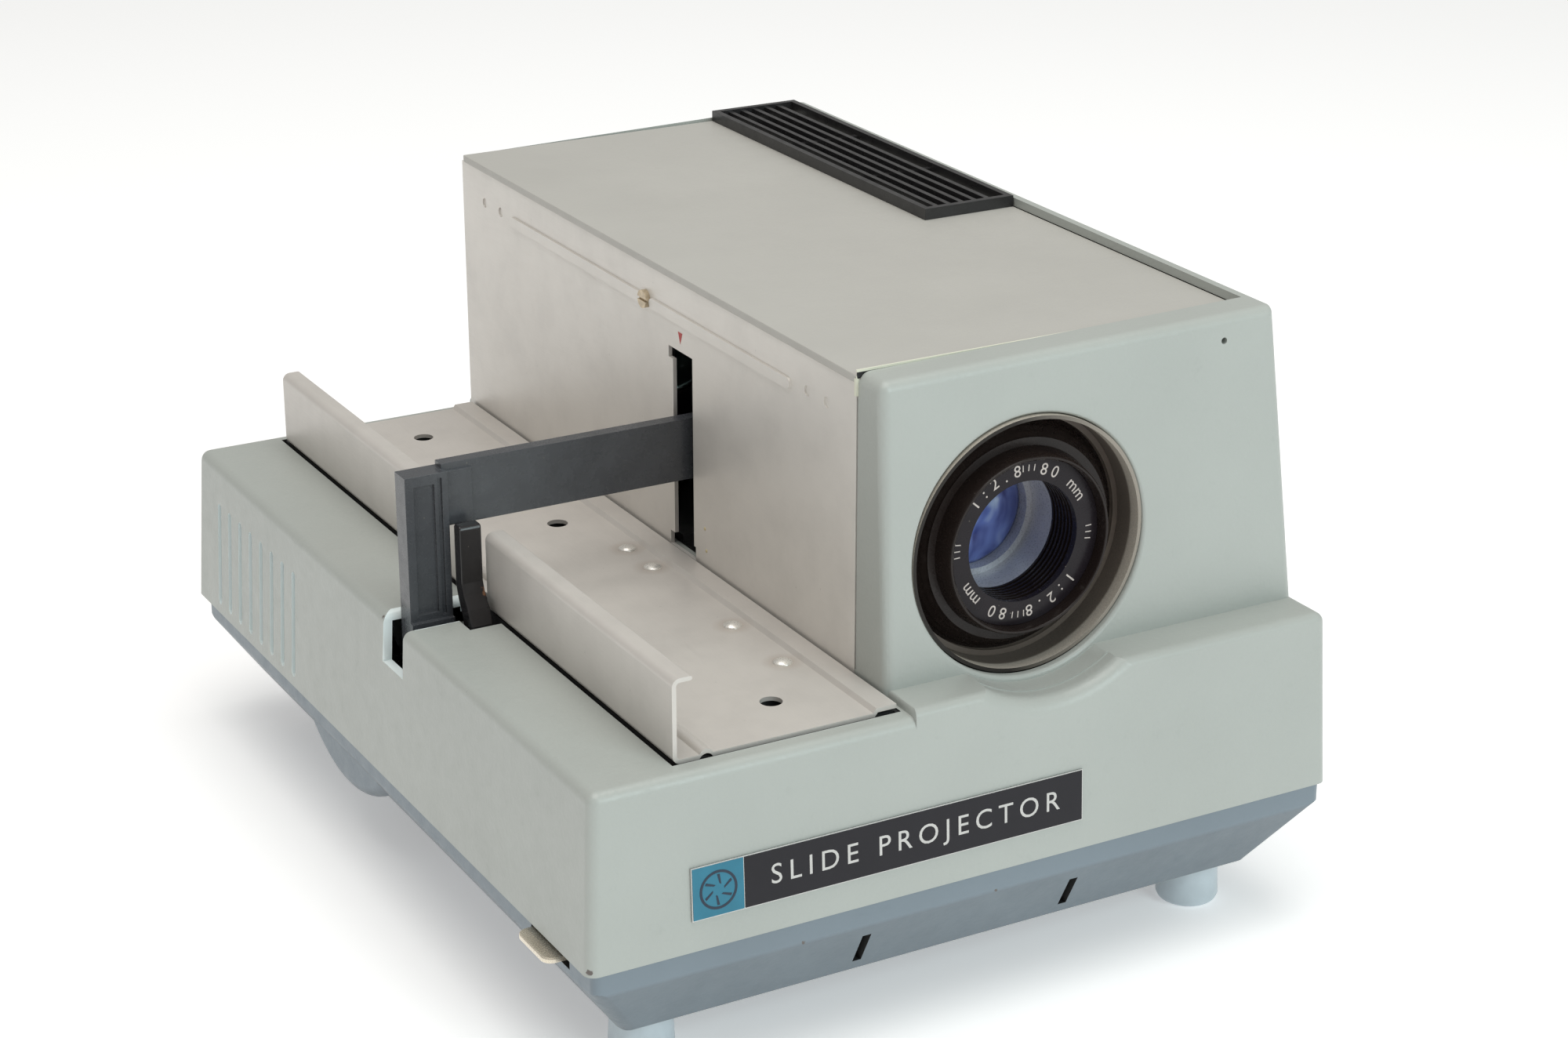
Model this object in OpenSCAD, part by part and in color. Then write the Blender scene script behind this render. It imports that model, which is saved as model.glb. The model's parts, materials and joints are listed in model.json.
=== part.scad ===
// Slide projector with a straight tray channel and a push-pull slide changer.
// Drawn from the front left bottom corner of the upper housing, in mm, +Z up,
// then moved so that the origin is the middle of the footprint at foot level.

/* [Housing] */
// overall width of the housing
body_w = 225; // [180:1:260]
// overall depth of the housing
body_d = 282; // [240:1:320]
// height of the low shelf beside the hood
shelf_h = 48; // [40:1:60]
// height of the ledge in front of the hood
ledge_h = 50.3; // [42:0.1:64]
// height of the hood top
hood_h = 134; // [110:1:150]
// casting wall thickness
wall = 2.5; // [1.5:0.1:4]
// left side of the hood
hood_x = 91.9; // [80:0.1:110]
// front face of the hood at the ledge
hood_y = 15.5; // [10:0.1:25]
// lean of the hood side
lean_side = 9.6; // [0:0.1:15]
// lean of the hood front
lean_front = 4.3; // [0:0.1:10]
// lean of the hood back
lean_back = 4; // [0:0.1:10]
// draft of the low walls
draft = 2; // [0:0.1:4]
// how far the foot of the left wall stands out
left_out = 1.4; // [0:0.1:2]

/* [Base pan] */
// height of the base pan
pan_h = 25; // [15:1:35]
// height of its upright band
band_h = 7; // [3:0.5:12]
// height of the feet below the pan
foot_h = 16; // [8:1:20]
// radius of a foot
foot_r = 8.8; // [5:0.1:9]

/* [Optics] */
// optical axis, from the left side
axis_x = 136; // [120:0.5:150]
// optical axis, above the bottom of the housing
axis_z = 81.5; // [70:0.5:95]
// radius of the hole in the hood
hole_r = 35.5; // [30:0.5:40]
// bore of the fixed lens sleeve
sleeve_r = 34.2; // [28:0.1:39]
// running clearance of the lens in its sleeve
run_fit = 0.07; // [0.02:0.01:0.1]
// plane of the slide in the gate
gate_y = 127; // [115:0.5:140]
// centre of the lamp, from the front
lamp_y = 195; // [180:1:210]

/* [Tray channel] */
// outer face of the channel flange
flange_x = 27.2; // [20:0.1:35]
// height of the flange
flange_h = 22.6; // [15:0.1:30]
// front edge of the channel floor
chan_y = 9.2; // [6:0.1:20]
// rear edge of the channel floor
chan_end = 274; // [240:1:280]
// sheet thickness
sheet = 1.2; // [0.8:0.1:2]

/* [Changer] */
// thickness of the changer arm
arm_t = 4; // [3:0.1:6]
// height of the arm
arm_h = 18; // [12:0.5:24]
// stroke of the changer
stroke = 78; // [60:1:80]

/* [Hidden] */
$fn = 64;
face_y = hood_y + lean_front * (axis_z - ledge_h) / (hood_h - ledge_h);
cover_z = 131.4;
cover_x1 = 209.6;
cover_y0 = 31;
cover_y1 = 274.2;
plate_y0 = 31.9;
plate_y1 = 276.5;
slot_y0 = 121.5;
slot_y1 = 133.2;
slot_z0 = 49.5;
slot_z1 = 109.1;
floor_z = shelf_h + 0.8;
seat_z = floor_z - sheet;
seat_gap = 1.2;
lip_w = 5.6;
handle_x0 = 5.9;
handle_x1 = 18.4;
handle_y0 = 122.8;
handle_y1 = 129.6;
handle_top = 89;
arm_y0 = gate_y - arm_t / 2;
arm_z0 = axis_z - arm_h / 2;
tip_x = axis_x - 25;
bar_y0 = 123.6;
bar_z0 = 36.6;
bar_t = 5;
bar_h = 5.5;
lever_x0 = 18.9;
lever_w = 6.4;
lever_top = 74.4;
lever_py = 114;
lever_pz = 35;
fan_x = 16;
fan_y = 170;
fan_z = 10.5;
fan_r = 31;
bulge_y = 172;
bulge_z = 23.5;
bulge_r = 46;
bench_z = 45;
pan_floor = -pan_h + 2.1;
foot_x = [26, 199];
foot_y = 27;
stem_r = 3.9;
rear_foot_x = [40, 185];
rear_foot_y = 254;
tab_y0 = 19;
tab_y1 = 37;
inlet_x = 190;
inlet_z = 22;
switch_x = 151;
fuse_x = 123;
rear_z = 21;
pins = [[inlet_x - 7, 20.5], [inlet_x, 24], [inlet_x + 7, 20.5]];
plate_screw_y = 149.2;
plate_screw_z = 119;
ribs = [[67.1, 144.8], [153.6, 238.5]];
dimples = [47, 57.2, 248.2, 260];
channel_holes = [[65.5, 253.5], [70.7, 166.9], [65.2, 28.2]];
rivets = [48.2, 76, 123.5, 139.4];
guide_x = [32, 70];
guide_w = 11;
bar_end = guide_x[1] + guide_w + stroke - 1;
lamp_x = 194;
motor_x = 66;
tab_out = 4.2;
plate_out = 0.4;
cap_out = 4;
seat_y = body_d - 1.4;
posts = [[100, 50], [100, 246], [200, 50], [200, 246]];
pan_holes = [[24, 60], [24, 262], [200, 50], [200, 246]];

// moves the drawing frame to the part's own frame
module at_frame() {
    translate([(tab_out - body_w) / 2, (plate_out - body_d - cap_out) / 2, pan_h + foot_h])
        children();
}

// turns a shape drawn along Z so that it lies along Y
module along_y(x, y, z) {
    translate([x, y, z]) rotate([-90, 0, 0]) children();
}

// turns a shape drawn along Z so that it lies along X
module along_x(x, y, z) {
    translate([x, y, z]) rotate([0, 90, 0]) children();
}

// plain box between two corners
module slab(x0, x1, y0, y1, z0, z1) {
    translate([x0, y0, z0]) cube([x1 - x0, y1 - y0, z1 - z0]);
}

// box given by its middle and size across X and Z, between two Y planes
module around(x, z, w, h, y0, y1) {
    slab(x - w / 2, x + w / 2, y0, y1, z - h / 2, z + h / 2);
}

// box whose four walls lean in by their own amounts at the top
module leaning(x0, x1, y0, y1, z0, z1, in_l, in_r, in_f, in_b) {
    intersection() {
        translate([0, y1 + 1, 0]) rotate([90, 0, 0]) linear_extrude(y1 - y0 + 2)
            polygon([[x0, z0], [x1, z0], [x1 - in_r, z1], [x0 + in_l, z1]]);
        translate([x0 - 1, 0, 0]) rotate([90, 0, 90]) linear_extrude(x1 - x0 + 2)
            polygon([[y0, z0], [y1, z0], [y1 - in_b, z1], [y0 + in_f, z1]]);
    }
}

// upright slot with round ends, cut along X or Y
module slot_z(w, z0, z1, depth) {
    linear_extrude(depth) {
        translate([0, z0 + w / 2]) circle(d = w);
        translate([0, z1 - w / 2]) circle(d = w);
        translate([-w / 2, z0 + w / 2]) square([w, z1 - z0 - w]);
    }
}

// rise of a bulged face at a given distance from its axis
function sag(x, r, b) = (r * r + b * b) / (2 * b) - sqrt(pow((r * r + b * b) / (2 * b), 2) - x * x);

// glass element along Z: front bulge, rim, rear bulge
module lens_glass(r, bulge_f, rim, bulge_b) {
    steps = 8;
    front = [for (i = [0 : steps]) [r * i / steps, sag(r * i / steps, r, bulge_f)]];
    back = [for (i = [steps : -1 : 0])
        [r * i / steps, bulge_f + rim + bulge_b - sag(r * i / steps, r, bulge_b)]];
    rotate_extrude() polygon(concat(front, back));
}

// outside of the lower part of the housing
module low_outer() {
    leaning(-left_out, body_w, 0, body_d, 0, shelf_h, left_out + 1.3, draft, 2.3, 2.3);
}

// outside of the ledge around the hood
module ledge_outer() {
    intersection() {
        leaning(0, body_w, 0, body_d, 0, ledge_h, 1.4, draft, 2.4, 2.3);
        slab(hood_x + 1, body_w, -1, body_d + 1, shelf_h - 6, ledge_h);
    }
}

// outside of the hood
module hood_outer() {
    leaning(hood_x, body_w - draft - 0.3, hood_y, body_d - 2.8, shelf_h - 6, hood_h,
        0, lean_side, lean_front, lean_back);
}

module side_vents() {
    for (i = [0 : 7])
        translate([-left_out - 1, 199 + 8.93 * i, 0]) rotate([90, 0, 90]) slot_z(2.8, 3, 36, 8);
}

module rear_vents() {
    for (i = [0 : 8])
        translate([112 + 10 * i, body_d + 1, 0]) rotate([90, 0, 0]) slot_z(3, 78, 118, 12);
}

module housing() {
    color([0.72, 0.76, 0.74]) at_frame() difference() {
        union() {
            difference() {
                union() {
                    low_outer();
                    ledge_outer();
                    hood_outer();
                }
                // inside of the lower part
                leaning(wall - left_out, body_w - wall, wall, body_d - wall, -1, shelf_h - wall,
                    left_out + 1.3, draft, 2.3, 2.3);
                // inside of the hood
                leaning(hood_x + wall, body_w - draft - wall, hood_y + wall,
                    body_d - 2.8 - wall, shelf_h - wall - 1, hood_h - wall,
                    0, lean_side, lean_front, lean_back);
            }
            // bed under the tray channel, backing of the scoop, screw bosses
            slab(24, hood_x + wall, wall + 1, body_d - wall - 1, seat_z - 4, shelf_h - 0.5);
            slab(axis_x - 26, axis_x + 26, wall + 0.5, hood_y + wall, 41, 47);
            for (p = [pan_holes[0], pan_holes[1]])
                translate([p[0], p[1], -pan_h + 2.2]) cylinder(r = 4.6, h = 69);
        }
        // opening under the cover, and the side opening behind the wall plate
        slab(hood_x - 1, cover_x1 + 0.4, cover_y0 - 0.4, cover_y1 + 0.4, cover_z - sheet, hood_h + 1);
        slab(hood_x - 1, cover_x1 - 3, cover_y0 + 3, cover_y1 - 3, hood_h - 12, hood_h + 1);
        slab(hood_x - 1, hood_x + 1.3, plate_y0 - 0.2, plate_y1 + 0.3, shelf_h, cover_z);
        slab(hood_x - 1, hood_x + 6, plate_y0 + 5, plate_y1 - 6, shelf_h + 1.5, hood_h + 1);
        // seat of the tray channel, with a deeper groove along its edge and holes below its floor
        slab(flange_x - seat_gap, hood_x, chan_y - seat_gap, chan_end + seat_gap, seat_z, shelf_h + 1);
        slab(flange_x - seat_gap, flange_x, chan_y - seat_gap, chan_end + seat_gap, seat_z - 2, shelf_h);
        slab(flange_x, hood_x - 1, chan_y - seat_gap, chan_y, seat_z - 2, shelf_h);
        for (p = channel_holes)
            translate([p[0], p[1], seat_z - 5]) cylinder(r = 4, h = 8);
        // notch for the changer and its lever
        slab(-1, flange_x, 117.3, 131, 34, shelf_h + 1);
        slab(17.4, flange_x, 109.2, 131, 30, shelf_h + 1);
        // hole for the lens with the scoop in the ledge below it
        along_y(axis_x, -1, axis_z) cylinder(r = hole_r + 1.5, h = hood_y + 1);
        along_y(axis_x, -1, axis_z) cylinder(r = hole_r, h = hood_y + 12);
        side_vents();
        rear_vents();
        // rear openings for inlet, switch and fuse, with flat seats for the first two
        around(inlet_x, inlet_z, 27.6, 19.6, body_d - 6, body_d + 1);
        around(inlet_x, inlet_z, 38.4, 26.4, seat_y, body_d + 1);
        around(switch_x, rear_z, 14.6, 21.6, body_d - 6, body_d + 1);
        around(switch_x, rear_z, 18.4, 25.4, seat_y, body_d + 1);
        along_y(fuse_x, body_d - 6, rear_z) cylinder(r = 6.2, h = 8);
        // small hole in the hood front
        along_y(196.5, 17, 127) cylinder(r = 0.9, h = 4.2);
        // holes for the base screws
        for (p = [pan_holes[0], pan_holes[1]])
            translate([p[0], p[1], -pan_h]) cylinder(r = 2.05, h = 26);
    }
}

// outside of the base pan, or its inside when grow is below zero
module pan_shape(grow, top) {
    x0 = 0.8 - grow;
    x1 = body_w - 0.7 + grow;
    y0 = 1.8 - grow;
    y1 = body_d - 3 + grow;
    leaning(x0, x1, y0, y1, -band_h, top, 0, 0, 0, 0);
    translate([0, 0, -band_h]) mirror([0, 0, 1])
        leaning(x0, x1, y0, y1, 0, pan_h - band_h + grow, 12.7, 16.8, 9.5, 10);
}

// round swelling of the left slope, beside the fan
module pan_bulge(grow) {
    intersection() {
        along_x(3.4 - grow, bulge_y, bulge_z) cylinder(r = bulge_r + grow, h = 14);
        slab(0, 20, bulge_y - bulge_r, bulge_y + bulge_r, -pan_h + 1 - grow, -band_h + 1);
    }
}

module base_pan() {
    color([0.44, 0.50, 0.54]) at_frame() difference() {
        union() {
            pan_shape(0, -0.2);
            pan_bulge(0);
        }
        pan_shape(-2, 1);
        pan_bulge(-2);
        // two slots in the front slope
        for (x = [80, 144])
            slab(x - 1.3, x + 1.3, 0, 13, -21, -11);
        // air inlets under the fan and under the transformer
        for (i = [0 : 6])
            slab(20 + 5 * i, 22.5 + 5 * i, fan_y - 16, fan_y + 16, -pan_h - 1, -pan_h + 4);
        for (i = [0 : 7])
            slab(130 + 8 * i, 133 + 8 * i, 190, 240, -pan_h - 1, -pan_h + 4);
        // stems of the front feet, screws, release tab
        for (x = foot_x)
            translate([x, foot_y, -pan_h - 1]) cylinder(r = stem_r + 0.2, h = 6);
        for (p = pan_holes)
            translate([p[0], p[1], -pan_h - 1]) cylinder(r = 2.2, h = 6);
        slab(-1, 12, tab_y0 - 3.5, tab_y1 + 1, -5.2, -2.2);
    }
}

module pan_screws() {
    color([0.55, 0.56, 0.57]) at_frame() {
        for (p = pan_holes)
            difference() {
                union() {
                    translate([p[0], p[1], -pan_h - 2]) cylinder(r = 3.6, h = 2);
                    translate([p[0], p[1], -pan_h - 1]) cylinder(r = 2, h = 22);
                }
                slab(p[0] - 0.5, p[0] + 0.5, p[1] - 4, p[1] + 4, -pan_h - 2.1, -pan_h - 1);
            }
    }
}

module foot_shape(h) {
    rotate_extrude() polygon([[0, 0], [foot_r - 2, 0], [foot_r - 0.6, 0.6], [foot_r, 2],
        [foot_r - 0.6, h], [0, h]]);
}

module front_feet() {
    color([0.62, 0.67, 0.70]) at_frame() {
        for (x = foot_x)
            translate([x, foot_y, -pan_h - foot_h]) {
                foot_shape(foot_h - 1.5);
                cylinder(r = stem_r, h = foot_h + pan_h + 12);
            }
    }
}

module foot_crossbar() {
    color([0.62, 0.63, 0.64]) at_frame() difference() {
        slab(foot_x[0] - 7, foot_x[1] + 7, foot_y - 6, foot_y + 6, 9.5, 11.5);
        for (x = foot_x)
            translate([x, foot_y, 8]) cylinder(r = stem_r + 0.02, h = 5);
    }
}

module foot_guides() {
    color([0.60, 0.61, 0.62]) at_frame() {
        for (x = foot_x)
            translate([x, foot_y, -pan_h + 2]) difference() {
                union() {
                    cylinder(r = 5, h = 10);
                    cylinder(r = 5.9, h = 1.5);
                }
                translate([0, 0, -1]) cylinder(r = stem_r + 0.06, h = 12);
            }
    }
}

module rear_feet() {
    color([0.12, 0.12, 0.12]) at_frame() {
        for (x = rear_foot_x)
            translate([x, rear_foot_y, -pan_h - foot_h]) foot_shape(foot_h);
    }
}

module release_tab() {
    color([0.72, 0.70, 0.64]) at_frame() difference() {
        union() {
            slab(3 - tab_out, 36, tab_y0, tab_y1, -4.6, -3);
            slab(-tab_out, 36, tab_y0 + 3, tab_y1 - 3, -4.6, -3);
            for (y = [tab_y0 + 3, tab_y1 - 3])
                translate([3 - tab_out, y, -4.6]) cylinder(r = 3, h = 1.6);
        }
        // room for the foot stem over the travel of the tab
        slab(foot_x[0] - stem_r - 3.3, 37, foot_y - 4.1, foot_y + 4.1, -5, 0);
    }
}

module wall_plate() {
    color([0.72, 0.70, 0.68]) at_frame() difference() {
        union() {
            slab(hood_x, hood_x + sheet, plate_y0, plate_y1, shelf_h + 0.2, cover_z - 2.3);
            // two long pressed ribs
            for (rib = ribs) {
                for (y = rib)
                    along_x(hood_x - 0.7, y, 118.6) cylinder(r = 1.6, h = 0.8);
                slab(hood_x - 0.7, hood_x + 0.1, rib[0], rib[1], 117, 120.2);
            }
        }
        // slide slot, wider at both ends
        slab(hood_x - 1, hood_x + 3, slot_y0, slot_y1, slot_z0, slot_z1);
        slab(hood_x - 1, hood_x + 3, slot_y0 - 1, slot_y1 + 2.6, slot_z0, slot_z0 + 4);
        slab(hood_x - 1, hood_x + 3, slot_y0, slot_y1 + 2.6, slot_z1 - 3.4, slot_z1);
        // screw hole, dimples
        along_x(hood_x - 2, plate_screw_y, plate_screw_z) cylinder(r = 1.6, h = 5);
        for (y = dimples)
            along_x(hood_x - 0.5, y, 119.3) cylinder(r = 1.5, h = 1);
    }
}

module plate_screw() {
    color([0.70, 0.62, 0.50]) at_frame() difference() {
        union() {
            along_x(hood_x - 1.5, plate_screw_y, plate_screw_z) cylinder(r = 2.6, h = 1.5);
            along_x(hood_x - 1, plate_screw_y, plate_screw_z) cylinder(r = 1.5, h = 7);
        }
        slab(hood_x - 1.6, hood_x - 0.9, plate_screw_y - 3.5, plate_screw_y + 3.5,
            plate_screw_z - 0.4, plate_screw_z + 0.4);
    }
}

module tray_channel() {
    color([0.74, 0.72, 0.70]) at_frame() difference() {
        union() {
            // floor, and the strip along the wall that stands a little higher
            slab(flange_x, 85.5, chan_y, chan_end, floor_z - sheet, floor_z);
            slab(84.3, 85.5, chan_y, chan_end, floor_z - sheet, floor_z + 1.2);
            slab(84.3, hood_x - 0.8, chan_y, chan_end, floor_z, floor_z + 1.2);
            // long bead near the flange
            intersection() {
                along_y(36.5, chan_y, floor_z - 0.6) cylinder(r = 1.8, h = chan_end - chan_y);
                slab(30, 43, chan_y, chan_end, floor_z - 0.3, floor_z + 3);
            }
            // outer flange in two lengths, each with a folded lip
            slab(flange_x, flange_x + sheet, chan_y, 119.5, floor_z - sheet, shelf_h + flange_h);
            slab(flange_x, flange_x + lip_w, chan_y, 119.5, shelf_h + flange_h - sheet, shelf_h + flange_h);
            slab(flange_x, flange_x + sheet, 135, 272, floor_z - sheet, shelf_h + flange_h);
            slab(flange_x, flange_x + lip_w, 135, 272, shelf_h + flange_h - sheet, shelf_h + flange_h);
        }
        for (p = channel_holes)
            translate([p[0], p[1], seat_z - 1]) cylinder(r = 3, h = 6);
        // cut in the floor for the transport lever
        slab(flange_x - 1, flange_x + 4, 119.5, 135, floor_z - 3, floor_z + 2);
    }
}

module channel_rivets() {
    color([0.80, 0.78, 0.74]) at_frame() {
        for (y = rivets) {
            translate([79.7, y, floor_z]) intersection() {
                cylinder(r = 2.7, h = 1.1);
                translate([0, 0, -3.2]) sphere(r = 4.3);
            }
        }
    }
}

module nameplate() {
    color([0.07, 0.07, 0.10]) at_frame()
        rotate([-2.74, 0, 0]) slab(27.6, 143.2, -0.8, 0, 8.5, 23);
}

module cover_plate() {
    color([0.70, 0.70, 0.67]) at_frame() difference() {
        union() {
            slab(hood_x - 0.6, cover_x1, cover_y0, cover_y1, cover_z - sheet, cover_z);
            slab(hood_x - 0.6, hood_x + 0.6, plate_y0, cover_y1, cover_z - 2.2, cover_z);
        }
        slab(183, cover_x1 - 4, 146, 269, cover_z - 3, cover_z + 1);
    }
}

module cover_grille() {
    color([0.06, 0.06, 0.07]) at_frame() {
        difference() {
            slab(179, 209.4, 141.5, 273.8, cover_z, cover_z + 3.4);
            slab(181, 207.4, 143.5, 271.8, cover_z - 1, cover_z + 5);
        }
        for (i = [0 : 4])
            translate([184.1 + 4.4 * i, 0, 0]) {
                slab(0, 1.6, 143, 272.3, cover_z, cover_z + 2.8);
                slab(0, 1.6, 146.3, 268.7, cover_z - 3.5, cover_z + 1);
            }
        for (y = [185, 229])
            slab(180.5, 207.8, y, y + 2, cover_z, cover_z + 1.6);
    }
}

module changer_handle() {
    color([0.19, 0.20, 0.21]) at_frame() difference() {
        union() {
            slab(handle_x0, handle_x1, handle_y0, handle_y1, 44, handle_top);
            // foot around the draw bar
            slab(handle_x0, handle_x1, handle_y0 - 1.2, handle_y1, bar_z0 - 1.8, 47);
            // arm, with a ramp up from the handle
            slab(handle_x1 - 1, tip_x, arm_y0, arm_y0 + arm_t, arm_z0, arm_z0 + arm_h);
            translate([0, arm_y0 + arm_t, 0]) rotate([90, 0, 0]) linear_extrude(arm_t)
                polygon([[16.5, handle_top - 14], [26, handle_top - 14], [26, arm_z0 + arm_h],
                    [16.5, handle_top]]);
            slab(handle_x1 - 1, 26, arm_y0 - 0.8, arm_y0 + arm_t, arm_z0 + 0.6, arm_z0 + arm_h - 2);
        }
        // sunk panel and groove in the front of the handle
        slab(8.4, 14.4, handle_y0 - 1, handle_y0 + 0.9, 49, 86);
        slab(15.4, 16.6, handle_y0 - 2, handle_y0 + 0.7, 48, 87.5);
        // seat of the draw bar
        slab(7.4, handle_x1 + 1, bar_y0 - 0.02, bar_y0 + bar_t + 0.02, bar_z0 - 0.02,
            bar_z0 + bar_h + 0.02);
    }
}

module changer_bar() {
    color([0.60, 0.61, 0.62]) at_frame()
        slab(7.4, bar_end, bar_y0, bar_y0 + bar_t, bar_z0, bar_z0 + bar_h);
}

module bar_guides() {
    color([0.14, 0.14, 0.15]) at_frame() {
        for (x = guide_x)
            difference() {
                union() {
                    slab(x, x + guide_w, bar_y0 - 5, bar_y0 + bar_t + 5, bar_z0 - 7,
                        bar_z0 + bar_h + 0.6);
                    slab(x + 2, x + guide_w - 2, bar_y0 - 3, bar_y0 + bar_t + 3, pan_floor,
                        bar_z0 - 6);
                }
                slab(x - 1, x + guide_w + 1, bar_y0 - 0.06, bar_y0 + bar_t + 0.06,
                    bar_z0 - 0.06, bar_z0 + bar_h + 2);
            }
    }
}

module transport_lever() {
    color([0.05, 0.05, 0.06]) at_frame() difference() {
        union() {
            translate([lever_x0, 0, 0]) rotate([90, 0, 90]) linear_extrude(lever_w)
                polygon([[117.4, lever_top - 0.7], [118, lever_top], [120.9, lever_top],
                    [121.5, lever_top - 0.7], [121.5, 56.6],
                    [120.2, 53], [117.8, 48.6], [116.6, 44], [116.4, 34], [111.6, 34],
                    [111.1, 43.2], [111.6, 47.4], [113.6, 51.6], [116.2, 55], [117.4, 58]]);
            along_x(lever_x0, lever_py, lever_pz) cylinder(r = 4.6, h = lever_w);
        }
        along_x(lever_x0 - 1, lever_py, lever_pz) cylinder(r = 2.05, h = lever_w + 2);
    }
}

module lever_bracket() {
    color([0.56, 0.57, 0.58]) at_frame() {
        slab(lever_x0 - 3, lever_x0 - 1, 107.5, 119.5, pan_floor, 41);
        slab(lever_x0 + lever_w + 1, lever_x0 + lever_w + 3, 107.5, 119.5, pan_floor, 41);
        slab(lever_x0 - 3, lever_x0 + lever_w + 3, 107.5, 119.5, pan_floor, -pan_h + 4.1);
        along_x(lever_x0 - 4.5, lever_py, lever_pz) cylinder(r = 2, h = lever_w + 9);
    }
}

module lens_sleeve() {
    color([0.50, 0.47, 0.43]) at_frame() difference() {
        along_y(axis_x, face_y + 0.9, axis_z) cylinder(r = sleeve_r + 1, h = 62);
        along_y(axis_x, face_y, axis_z) cylinder(r = sleeve_r, h = 70);
    }
}

module sleeve_clamp() {
    color([0.55, 0.56, 0.57]) at_frame() difference() {
        union() {
            along_y(axis_x, 34, axis_z) cylinder(r = 39.5, h = 9);
            along_y(axis_x, 62, axis_z) cylinder(r = 39.5, h = 9);
            slab(axis_x - 30, axis_x + 30, 34, 71, bench_z, 52);
        }
        along_y(axis_x, 20, axis_z) cylinder(r = sleeve_r + 1.02, h = 60);
        slab(axis_x - 40, axis_x + 40, 30, 75, 42, bench_z);
    }
}

module focus_nut() {
    color([0.46, 0.44, 0.42]) at_frame() along_y(axis_x, 66, axis_z) {
        difference() {
            cylinder(r = sleeve_r - run_fit, h = 7);
            translate([0, 0, -1]) cylinder(r = 31.1, h = 9);
        }
    }
}

module focus_tube() {
    color([0.30, 0.27, 0.25]) at_frame() along_y(axis_x, face_y, axis_z) {
        rotate_extrude() polygon([[29, 14], [32.6, 12.2], [32.6, 10.4], [sleeve_r - run_fit, 10.4],
            [sleeve_r - run_fit, 48], [31, 48.2], [31, 58], [29, 58]]);
    }
}

module lens_barrel() {
    color([0.05, 0.045, 0.045]) at_frame() along_y(axis_x, face_y, axis_z) {
        rotate_extrude() polygon([[23.3, 0.6], [23.7, 0.2], [24.2, 0.2], [24.5, 0.6], [25.6, 6],
            [27.8, 6], [27.8, 6.8], [28.9, 7.6], [28.9, 8.4], [30.1, 9], [30.1, 9.8],
            [31.3, 10.4], [31.3, 11.2], [32.4, 11.6], [32.4, 12], [28.9, 13.9], [28.9, 44],
            [24, 48], [19, 50], [19, 5.6], [23.3, 5.6]]);
    }
}

module name_ring() {
    color([0.06, 0.06, 0.08]) at_frame() along_y(axis_x, face_y + 3.8, axis_z) {
        difference() {
            cylinder(r = 23.2, h = 1.6);
            translate([0, 0, -1]) cylinder(r = 16.7, h = 4);
        }
    }
}

module lens_baffle() {
    color([0.05, 0.05, 0.055]) at_frame() along_y(axis_x, face_y + 5.5, axis_z) {
        difference() {
            cylinder(r = 18.9, h = 10.3);
            translate([0, 0, -1]) cylinder(r = 16.9, h = 13);
            for (i = [0 : 5])
                translate([0, 0, 0.7 + 1.6 * i]) cylinder(r = 17.7, h = 0.9);
        }
    }
}

module lens_cell() {
    color([0.42, 0.43, 0.45]) at_frame() along_y(axis_x, face_y, axis_z) {
        rotate_extrude() polygon([[16.9, 15.9], [18.9, 15.9], [18.9, 49.4], [13.25, 49.4],
            [13.25, 32.7], [15.2, 32.7], [15.2, 25.5], [16.9, 25.5]]);
    }
}

module front_element() {
    color([0.35, 0.42, 0.75, 0.5]) at_frame() along_y(axis_x, face_y + 26, axis_z) {
        lens_glass(15.15, 3.2, 1.5, 1);
    }
}

module middle_element() {
    color([0.6, 0.65, 0.7, 0.5]) at_frame() along_y(axis_x, face_y + 36, axis_z) {
        cylinder(r = 13.2, h = 2.4);
    }
}

module rear_element() {
    color([0.6, 0.65, 0.7, 0.5]) at_frame() along_y(axis_x, face_y + 43, axis_z) {
        lens_glass(13.2, 0.8, 1.5, 3);
    }
}

module optical_bench() {
    color([0.62, 0.63, 0.63]) at_frame() {
        difference() {
            slab(96, 216, 26, 270, bench_z - 2.5, bench_z);
            slab(174, 205, 176, 214, bench_z - 4, bench_z + 1);
            for (x = [104, 196])
                for (y = [90, 262])
                    translate([x, y, bench_z - 4]) cylinder(r = 2.1, h = 6);
        }
        for (p = posts)
            translate([p[0], p[1], pan_floor]) difference() {
                cylinder(r = 5, h = bench_z - 2 - pan_floor);
                translate([0, 0, -1]) cylinder(r = 2.05, h = 22);
            }
    }
}

module gate_plate(y0, y1, open_w, open_h) {
    difference() {
        slab(axis_x - 32, axis_x + 32, y0, y1, bench_z, 112);
        slab(axis_x - open_w / 2, axis_x + open_w / 2, y0 - 1, y1 + 1, axis_z - open_h / 2,
            axis_z + open_h / 2);
    }
}

module gate_front() {
    color([0.10, 0.10, 0.11]) at_frame() {
        gate_plate(120.4, 122.4, 38, 38);
        slab(axis_x - 32, axis_x + 32, 122.4, 131.6, 54, 56);
        slab(axis_x + 26, axis_x + 32, 122.4, 131.6, 56, 110);
    }
}

module gate_rear() {
    color([0.58, 0.59, 0.60]) at_frame() {
        gate_plate(131.7, 133.7, 39, 39);
    }
}

module gate_spring() {
    color([0.75, 0.75, 0.74]) at_frame() {
        slab(axis_x - 30, axis_x - 22, 129.8, 130.4, 60, 104);
        slab(axis_x - 30, axis_x - 22, 130.4, 131.6, 60, 63);
        slab(axis_x - 30, axis_x - 22, 130.4, 131.6, 101, 104);
    }
}

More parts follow.
